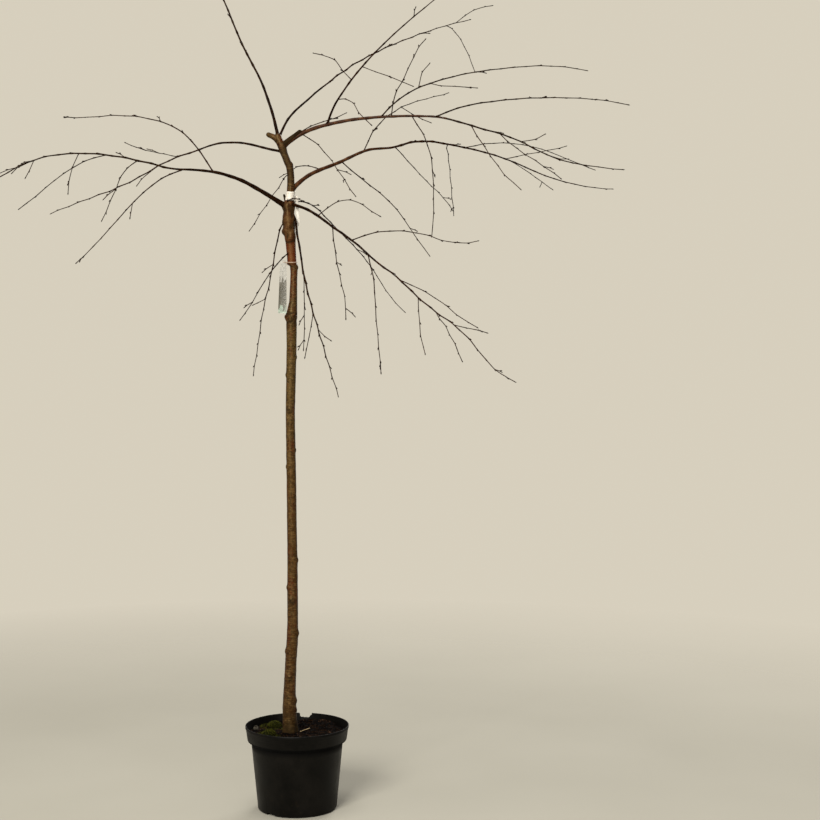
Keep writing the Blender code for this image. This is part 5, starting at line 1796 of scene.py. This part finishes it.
@dataclass
class Compost:
    """The soil in the pot, with the crumbs, chips, fibres and straw that lie on it."""

    # The body's radius and height against the pot, from its floor up
    wall: Pairs = (
        (0.087, 0.0048), (0.0905, 0.009), (0.1055, 0.157), (0.1148, 0.1656), (0.1172, 0.179),
    )
    rings: int = 84
    spokes: int = 224
    crumb_count: int = 5200
    fibre_count: int = 260
    # The straws: middle, length, bearing in radians, rise
    straws: tuple[tuple[float, ...], ...] = (
        (0.019, -0.016, 0.024, 0.4, 0.006), (-0.058, -0.082, 0.014, 1.2, 0.0),
    )

    @staticmethod
    def level(places: np.ndarray) -> np.ndarray:
        """The height of the soil at each place.

        Args:
            places: X and Y, one row each.

        Returns:
            The heights.
        """
        flat = np.column_stack([places, np.zeros(len(places))])
        away = np.linalg.norm(places, axis=1)
        rough = 0.002 * ripple(flat, 0.034) + 0.0022 * ripple(flat + 2.3, 0.012)
        rough += 0.0012 * ripple(flat + 4.1, 0.0046)
        edge = np.clip((away - 0.1) / 0.017, 0, 1)
        stem = np.linalg.norm(places - STEM_FOOT, axis=1)
        heap = np.linalg.norm(places - (0.05, 0.08), axis=1)
        raised = 0.0052 * np.exp(-((stem / 0.03) ** 4)) + 0.007 * bell(heap, 0, 0.05)
        return COMPOST_TOP - 0.0019 + rough - 0.0035 * edge**2 + raised

    def soil(self) -> Object:
        """The body of soil: a rough top and a wall that follows the pot's."""
        edge = self.wall[-1][0]
        radii = edge * (np.arange(1, self.rings + 1) / self.rings)
        angles = 2 * np.pi * np.arange(self.spokes) / self.spokes
        round_about = np.column_stack([np.cos(angles), np.sin(angles)])
        top = (radii[:, None, None] * round_about[None]).reshape(-1, 2)
        points = [(0.0, 0.0, float(self.level(np.zeros((1, 2)))[0]))]
        points.extend(np.column_stack([top, self.level(top)]).tolist())
        for radius, height in reversed(self.wall):
            points.extend((radius * x, radius * y, height) for x, y in round_about)
        rows = self.rings + len(self.wall)
        faces = [(0, 1 + j, 1 + (j + 1) % self.spokes) for j in range(self.spokes)]
        faces.extend((a, d, c, b) for a, b, c, d in between_rings(1, rows, self.spokes))
        faces.append(tuple(range(1 + (rows - 1) * self.spokes, 1 + rows * self.spokes))[::-1])
        soil = mesh_object("compost_soil", points, faces)
        soil.data.shade_smooth()
        return soil

    @staticmethod
    def crumb(name: str, seed: int) -> Object:
        """Models one angular crumb, about 1 across."""
        bpy.ops.mesh.primitive_ico_sphere_add(subdivisions=1, radius=0.5)
        crumb = Bench.fresh(name)
        dice = random.Random(seed)
        for vert in crumb.data.vertices:
            vert.co *= dice.uniform(0.62, 1.1)
        return crumb

    @staticmethod
    def free_place(dice: random.Random, reach: float = 0.113) -> tuple[float, float]:
        """A place on the soil beside the stem."""
        while True:
            away, bearing = reach * math.sqrt(dice.random()), dice.uniform(0, 2 * math.pi)
            x, y = away * math.cos(bearing), away * math.sin(bearing)
            if math.dist((x, y), STEM_FOOT) > STEM_CLEARANCE:
                return x, y

    def crumbs(self) -> Object:
        """Crumbs and flat chips of bark, thicker at the back right and the front right."""
        dice = random.Random("crumbs")
        copies = Copies([self.crumb(f"crumb_{i}", i) for i in range(4)])
        places = [self.free_place(dice) for _ in range(self.crumb_count)]
        levels = self.level(np.array(places))
        for (x, y), level in zip(places, levels):
            right = x > 0.0 and (y > 0.065 or -0.06 < y < -0.035)
            tint = dice.choices(range(4), (62, 24, 8, 6) if right else (88, 10, 1.6, 0.4))[0]
            wide = dice.uniform(0.0016, 0.0042) if dice.random() < 0.9 else dice.uniform(0.0048, 0.0095)
            flat = dice.uniform(0.35, 0.8) if wide < 0.005 else 0.25
            turn = Matrix.Rotation(dice.uniform(0, 6.3), 4, "Z")
            tilt = Matrix.Rotation(dice.uniform(-0.5, 0.5), 4, "X")
            size = Matrix.Diagonal((wide, wide * dice.uniform(0.45, 1.0), wide * flat, 1))
            place = Matrix.Translation((x, y, level + 0.2 * wide * flat))
            copies.add(place @ turn @ tilt @ size, tint, dice.randrange(4))
        return copies.build("crumbs_on_the_soil")

    def fibres(self) -> Object:
        """Thin fibres and a few straws lying on the soil."""
        dice = random.Random("fibres")
        tubes = Tubes()
        for i in range(self.fibre_count):
            straw = i < len(self.straws)
            x, y = self.free_place(dice, 0.104)
            length = dice.uniform(0.006, 0.018)
            bearing, bend = dice.uniform(0, 6.3), dice.uniform(-1.4, 1.4)
            if straw:
                x, y, length, bearing, rise = self.straws[i]
                bend *= 0.3
            share = np.linspace(-0.5, 0.5, 8)
            turn = bearing + bend * share
            line = np.column_stack([x + length * share * np.cos(turn), y + length * share * np.sin(turn)])
            away = np.linalg.norm(line, axis=1)
            line *= np.minimum(1, SOIL_REACH / np.maximum(away, 0.001))[:, None]
            up = self.level(line) + dice.uniform(0.0004, 0.0012)
            up += 0.0012 * np.abs(share) * dice.uniform(0, 2)
            if straw:
                up = np.max(up) + 0.5 * rise + rise * share
            width = dice.uniform(0.0007, 0.0009) if straw else dice.uniform(0.00018, 0.0004)
            tubes.add(np.column_stack([line, up]), np.full(8, width), 5, int(straw))
        return tubes.build("fibres_on_the_soil")

    def build(self, effects: Effects) -> None:
        """Builds the soil and what lies on it."""
        dress(self.soil(), [SOIL.material(effects)], ["compost"])
        dress(self.crumbs(), [finish.material(effects) for finish in CRUMB_TINTS])
        dress(self.fibres(), [finish.material(effects) for finish in FIBRE_TINTS])


@dataclass(frozen=True)
class Tuft:
    """One tuft of moss: the node that it stands for, its middle, its size and its number of shoots."""

    node: str
    x: float
    y: float
    width: float
    depth: float
    height: float
    shoots: int


@dataclass
class Moss:
    """Tufts of moss: mounds thick with short pointed shoots."""

    tufts: tuple[Tuft, ...] = (
        Tuft("moss_back", -0.057, 0.048, 0.038, 0.034, 0.017, 1000),
        Tuft("moss_front", -0.064, -0.03, 0.034, 0.03, 0.014, 900),
    )
    strays: int = 800
    shoot_rings: Pairs = ((0.35, 0.26), (0.15, 0.12), (0.22, 0.2), (0.28, 0.015))

    @staticmethod
    def mound(tuft: Tuft) -> Object:
        """The mound under a tuft, with an uneven edge."""
        bpy.ops.mesh.primitive_uv_sphere_add(segments=40, ring_count=22, radius=0.5)
        mound = Bench.fresh("mound_of_" + tuft.node)
        points, _ = mesh_points(mound)
        points *= (0.88 * tuft.width, 0.88 * tuft.depth, 1.3 * tuft.height)
        points += (tuft.x, tuft.y, COMPOST_TOP)
        points[:, :2] += 0.004 * np.column_stack([ripple(points, 0.012), ripple(points + 5, 0.012)])
        points[:, 2] = np.maximum(points[:, 2] + 0.0026 * ripple(points + 9, 0.008), COMPOST_TOP - 0.004)
        set_points(mound, points)
        mound.data.shade_smooth()
        return mound

    @staticmethod
    def set_shoot(copies: Copies, foot: Vector, way: Vector, dice: random.Random) -> None:
        """Sets a moss shoot on a mound or on the soil."""
        lean = Vector([dice.uniform(-0.45, 0.45) for _ in range(3)])
        tall = dice.uniform(0.0018, 0.0036)
        tint = dice.choices(range(3), (55, 25, 20))[0]
        copies.stand(foot, (way + lean).normalized(), 0.85 * tall, tall, tint)

    def build(self, effects: Effects) -> None:
        """Builds the tufts."""
        dice = random.Random("moss")
        tints = [finish.material(effects) for finish in MOSS_TINTS]
        copies = Copies([Bench.draw_up("moss_shoot", 4, 0.1, self.shoot_rings)])
        for tuft in self.tufts:
            dress(self.mound(tuft), [tints[2]], [tuft.node])
            for _ in range(tuft.shoots):
                rise, bearing = math.asin(dice.uniform(0.05, 1)), dice.uniform(0, 2 * math.pi)
                way = direction(math.degrees(bearing), math.degrees(rise))
                foot = Vector((0.42 * tuft.width, 0.42 * tuft.depth, 0.62 * tuft.height)) * way
                self.set_shoot(copies, foot + Vector((tuft.x, tuft.y, COMPOST_TOP)), way, dice)
        for i in range(self.strays):
            tuft = self.tufts[i % 2]
            away, bearing = dice.uniform(0.6, 1.0), dice.uniform(0, 2 * math.pi)
            x = tuft.x + away * tuft.width * math.cos(bearing)
            y = tuft.y + away * tuft.depth * math.sin(bearing)
            if math.hypot(x, y) < SOIL_REACH:
                self.set_shoot(copies, Vector((x, y, COMPOST_TOP - 0.002)), Vector((0, 0, 1)), dice)
        dress(copies.build("moss_shoots"), tints)


@dataclass
class Chip:
    """A small grey curved chip of stone at the left of the compost."""

    place: tuple[float, float] = (-0.099, 0.02)
    size: tuple[float, float, float] = (0.015, 0.012, 0.01)

    def build(self, effects: Effects) -> None:
        """Builds the chip."""
        bpy.ops.mesh.primitive_ico_sphere_add(subdivisions=4, radius=0.5)
        chip = Bench.fresh("grey_stone_chip")
        points, _ = mesh_points(chip)
        points *= 1 + 0.16 * ripple(points + 3, 0.55)[:, None]
        points[:, 2] -= 0.5 * (points[:, 0] + 0.15) ** 2
        points *= (self.size[0] * 0.9, self.size[1] * 0.85, self.size[2] * 1.25)
        points += (*self.place, COMPOST_TOP + 0.0022)
        set_points(chip, points)
        chip.data.shade_smooth()
        dress(chip, [CHIP.material(effects)], ["stone"])


@dataclass
class Tape:
    """Grafting tape wound round the head of the stem, with a loose tail at its right."""

    low: float = 1.4372
    high: float = 1.4574
    stand_off: float = 0.0013
    turns: float = 3.6
    step: float = 0.0004  # How far a turn stands out over the one below
    tail: tuple[float, float, float] = (0.07, 0.006, 0.0008)  # Length, width and thickness
    lean: float = 4.5  # How far the tail stands off the vertical, in degrees

    def sleeve(self) -> Object:
        """The wound sleeve, closed on its inside."""
        around, up = 96, 60
        angles = 2 * np.pi * np.arange(around) / around
        rows = []
        for i in range(up + 1):
            share = i / up
            level = self.low + (self.high - self.low) * share
            x, y, wide = Stem.ring(level)
            wound = (share * self.turns - angles / (2 * np.pi)) % 1.0
            crease = 0.00025 * np.sin(7 * angles + 9 * share) * np.sin(3 * angles + 2)
            edge = 0.0004 * min(1.0, 8 * share, 8 * (1 - share))
            radius = wide / 2 + self.stand_off - 0.0006 + self.step * (1 - wound) + crease + edge
            ragged = level + 0.0006 * np.sin(2 * angles + 0.6) * (1 if share in (0, 1) else 0.5)
            outside = x + radius * np.cos(angles), y + radius * np.sin(angles)
            rows.append(np.column_stack([*outside, ragged]))
        for level in (self.high - 0.0002, self.low + 0.0002):
            x, y, wide = Stem.ring(level)
            inside = wide / 2 - 0.0006
            flat = np.full(around, level)
            rows.append(np.column_stack([x + inside * np.cos(angles), y + inside * np.sin(angles), flat]))
        total = len(rows) * around
        closed = between_rings(0, len(rows) + 1, around)
        faces = [tuple(corner % total for corner in face) for face in closed]
        return mesh_object("wound_tape", np.vstack(rows), faces)

    def loose_end(self) -> Object:
        """The loose tail, which hangs beside the stem and curls a little."""
        length, width, thick = self.tail
        level = (self.low + self.high) / 2
        start = Stem.axis(level) + Vector((Stem.radius(level) + 0.0012 + width / 2, 0.003, 0))
        down = direction(0, self.lean - 90)
        count, corners = 56, []
        for i in range(count + 1):
            share = i / count
            middle = start + down * length * share + Vector((0, 0.0012 * math.sin(7 * share), 0))
            twist = 0.25 * math.sin(4.2 * share) + 0.35 * share**3
            across = Vector((math.cos(twist), math.sin(twist), 0)) * width / 2 * (1 - 0.25 * share**6)
            out = Vector((-math.sin(twist), math.cos(twist), 0)) * thick / 2
            for way, face in ((-1, -1), (1, -1), (1, 1), (-1, 1)):
                corners.append(tuple(middle + way * across + face * out))
        ends = [(3, 2, 1, 0), tuple(4 * count + j for j in range(4))]
        faces = [*ends, *between_rings(0, count + 1, 4)]
        tail = mesh_object("loose_tape_end", corners, faces)
        Bench.modify(tail, "BEVEL", width=0.00018, segments=2, limit_method="ANGLE")
        return tail

    def build(self, effects: Effects) -> None:
        """Builds the sleeve and its tail."""
        film = TAPE_FILM.material(effects)
        for piece in (self.sleeve(), self.loose_end()):
            Bench.close(piece, 0.000001)
            Bench.smooth(piece, 50)
            dress(piece, [film], ["grafting_tape"])


@dataclass
class Label:
    """A narrow plain plastic tag on a thin tie round the stem."""

    height: float = 1.2935  # Of the tie
    place: tuple[float, float] = (-0.027, -0.013)  # Sideways and towards the back
    # Distances below the tie, and half the tag's width there
    half_widths: Pairs = ((-0.005, 0.0055), (0.024, 0.008), (0.119, 0.0098))
    top: float = 0.005  # How far it reaches above the tie
    bottom: float = 0.119  # How far it reaches below
    thick: float = 0.0008
    corner: float = 0.0022
    hole: float = 0.0026
    lean: float = 1.5
    tie_radius: float = 0.0007

    def half_width(self, below: float) -> float:
        """Half the tag's width at this distance below the tie, with its corners rounded."""
        half = float(np.interp(below, *zip(*self.half_widths)))
        inset = self.corner - min(self.corner, below + self.top, self.bottom - below)
        return half - self.corner + math.sqrt(max(0.0, self.corner**2 - inset**2))

    def tag(self) -> Object:
        """The tag: a bowed strip with rounded corners and a hole."""
        bpy.ops.mesh.primitive_grid_add(x_subdivisions=16, y_subdivisions=150, size=1)
        tag = Bench.fresh("plain_tag")
        for vert in tag.data.vertices:
            u, v = 2 * vert.co.x, 0.5 - vert.co.y
            ease = 0.5 - 0.5 * math.cos(math.pi * v)
            below = -self.top + (self.top + self.bottom) * (0.3 * ease + 0.7 * v)
            vert.co = (u * self.half_width(below), 0, -below)
        Bench.modify(tag, "SOLIDIFY", thickness=0.82 * self.thick, offset=0)
        bpy.ops.mesh.primitive_cylinder_add(
            vertices=40, radius=self.hole, depth=8 * self.thick, rotation=(math.radians(90), 0, 0)
        )
        hole = Bench.fresh("hole")
        Bench.settle(hole)
        Bench.cut(tag, hole)
        points, _ = mesh_points(tag)
        share = (self.top - points[:, 2]) / (self.top + self.bottom)
        points[:, 1] += 0.001 * np.sin(math.pi * share) * (share > 0) - 0.9 * points[:, 0] ** 2 / 0.1
        lean = math.radians(self.lean)
        x = points[:, 0] * math.cos(lean) + points[:, 2] * math.sin(lean)
        z = points[:, 2] * math.cos(lean) - points[:, 0] * math.sin(lean)
        y = points[:, 1] + self.place[1]
        set_points(tag, np.column_stack([x + self.place[0], y, z + self.height]))
        Bench.smooth(tag, 35)
        return tag

    def tie(self) -> Object:
        """A loop close round the stem that bulges out through the tag's hole."""
        axis = Stem.axis(self.height)
        near = Stem.radius(self.height) + self.tie_radius + 0.0007
        reach = Vector((self.place[0] - axis.x, self.place[1] - axis.y, 0))
        bearing = math.atan2(reach.y, reach.x)
        line = []
        for i in range(145):
            angle = bearing + math.pi + 2 * math.pi * i / 144
            bulge = max(0.0, math.cos(angle - bearing)) ** 8
            away = near + (reach.length - near) * bulge
            dip = 0.0006 * math.sin(angle) * (1 - bulge)
            x, y = axis.x + away * math.cos(angle), axis.y + away * math.sin(angle)
            line.append((x, y, self.height + dip))
        tubes = Tubes()
        tubes.add(np.array(line), np.full(len(line), self.tie_radius), 12)
        knot = np.array(axis) + (math.cos(bearing - 0.9) * near, math.sin(bearing - 0.9) * near, 0)
        share = np.linspace(0, 1, 14)[:, None]
        for out, down in ((0.004, -0.005), (0.001, -0.007)):
            end = share * (math.cos(bearing - 0.9) * out, math.sin(bearing - 0.9) * out, 0)
            tubes.add(knot + end + share**1.6 * (0, 0, down), np.full(14, 0.8 * self.tie_radius), 8)
        return tubes.build("thin_tie")

    def build(self, effects: Effects) -> None:
        """Builds the tag and its tie."""
        dress(self.tag(), [LABEL_FILM.material(effects)], ["label_tag"])
        dress(self.tie(), [TIE_PLASTIC.material(effects)], ["label_tie"])


@dataclass
class Studio:
    """The plain floor and backdrop, the soft lights and the camera."""

    eye: tuple[float, float, float] = (0.268, -4.08, 1.195)
    dip: float = 3.47  # How far it looks down, in degrees
    lens: float = 76.4  # In millimetres
    floor_radius: float = 3.0

    def floor(self) -> None:
        """Lays a round floor that fades into the pale backdrop at its edge."""
        bpy.ops.mesh.primitive_circle_add(vertices=128, radius=self.floor_radius, fill_type="NGON")
        floor = Bench.fresh("round_floor")
        material, graph, shader = new_material("cream_floor")
        place = graph.place()
        mask = graph.remap(graph.noise(place, 1.4, 2.0), 0.35, 0.65)
        away = graph.add("VectorMath", {0: place}, operation="LENGTH").outputs["Value"]
        graph.feed(shader, {
            "Base Color": graph.mix(mask, shade(168, 165, 152), shade(173, 170, 157)),
            "Roughness": 0.85,
            "Alpha": graph.remap(away, 0.35 * self.floor_radius, 0.98 * self.floor_radius, 1.0, 0.0),
        })
        floor.data.materials.append(material)

    @staticmethod
    def light(
        name: str, place: Sequence[float], aim: Sequence[float], size: float, power: float, tint: Colour
    ) -> None:
        """Adds a soft square light.

        Args:
            name: Its name.
            place: Where it hangs.
            aim: What it points at.
            size: Its side.
            power: Its power in watts.
            tint: Its colour.
        """
        lamp = bpy.data.lights.new(name, "AREA")
        lamp.size, lamp.energy, lamp.color = size, power, tint
        obj = link(name, lamp)
        obj.location = place
        obj.rotation_euler = (Vector(aim) - Vector(place)).to_track_quat("-Z", "Y").to_euler()

    def build(self) -> None:
        """Builds the stage, the lights and the camera."""
        self.floor()
        middle = (0, 0, 1.0)
        self.light("key_light", (-1.4, -4.3, 3.2), middle, 2.0, 325, (1.0, 0.96, 0.9))
        self.light("top_light", (-0.3, -0.5, 4.8), (0, -0.1, 0), 1.8, 60, (1.0, 0.97, 0.93))
        self.light("back_light", (1.6, 4.2, 3.0), middle, 2.4, 130, (1.0, 0.96, 0.9))
        bpy.context.scene.view_settings.view_transform = "Standard"
        world = bpy.data.worlds.new("pale_room")
        world.use_nodes = True
        world.node_tree.nodes.clear()
        graph = Graph(world.node_tree)
        seen = graph.add("Background", {"Color": shade(214, 206, 188), "Strength": 1.0})
        cast = graph.add("Background", {"Color": (1.0, 0.96, 0.9), "Strength": 0.26})
        path = graph.add("LightPath")
        inputs = {0: path.outputs["Is Camera Ray"], 1: cast.outputs[0], 2: seen.outputs[0]}
        graph.add("OutputWorld", {"Surface": graph.add("MixShader", inputs).outputs[0]})
        bpy.context.scene.world = world
        lens = bpy.data.cameras.new("camera")
        lens.lens, lens.sensor_width = self.lens, 36
        camera = link("camera", lens)
        camera.location = self.eye
        camera.rotation_euler = (math.radians(90 - self.dip), 0, 0)
        bpy.context.scene.camera = camera


def main() -> None:
    """Builds the tree, its pot and the studio."""
    logging.basicConfig(level=logging.INFO, format="%(message)s", force=True)
    effects, growth = Effects(), Growth()
    Studio().build()
    Pot().build(effects)
    Compost().build(effects)
    Moss().build(effects)
    Chip().build(effects)
    Trunk().build(growth, effects)
    Boughs().build(growth, effects)
    Twigs().build(growth, effects)
    Tape().build(effects)
    Label().build(effects)


if __name__ == "__main__":
    main()
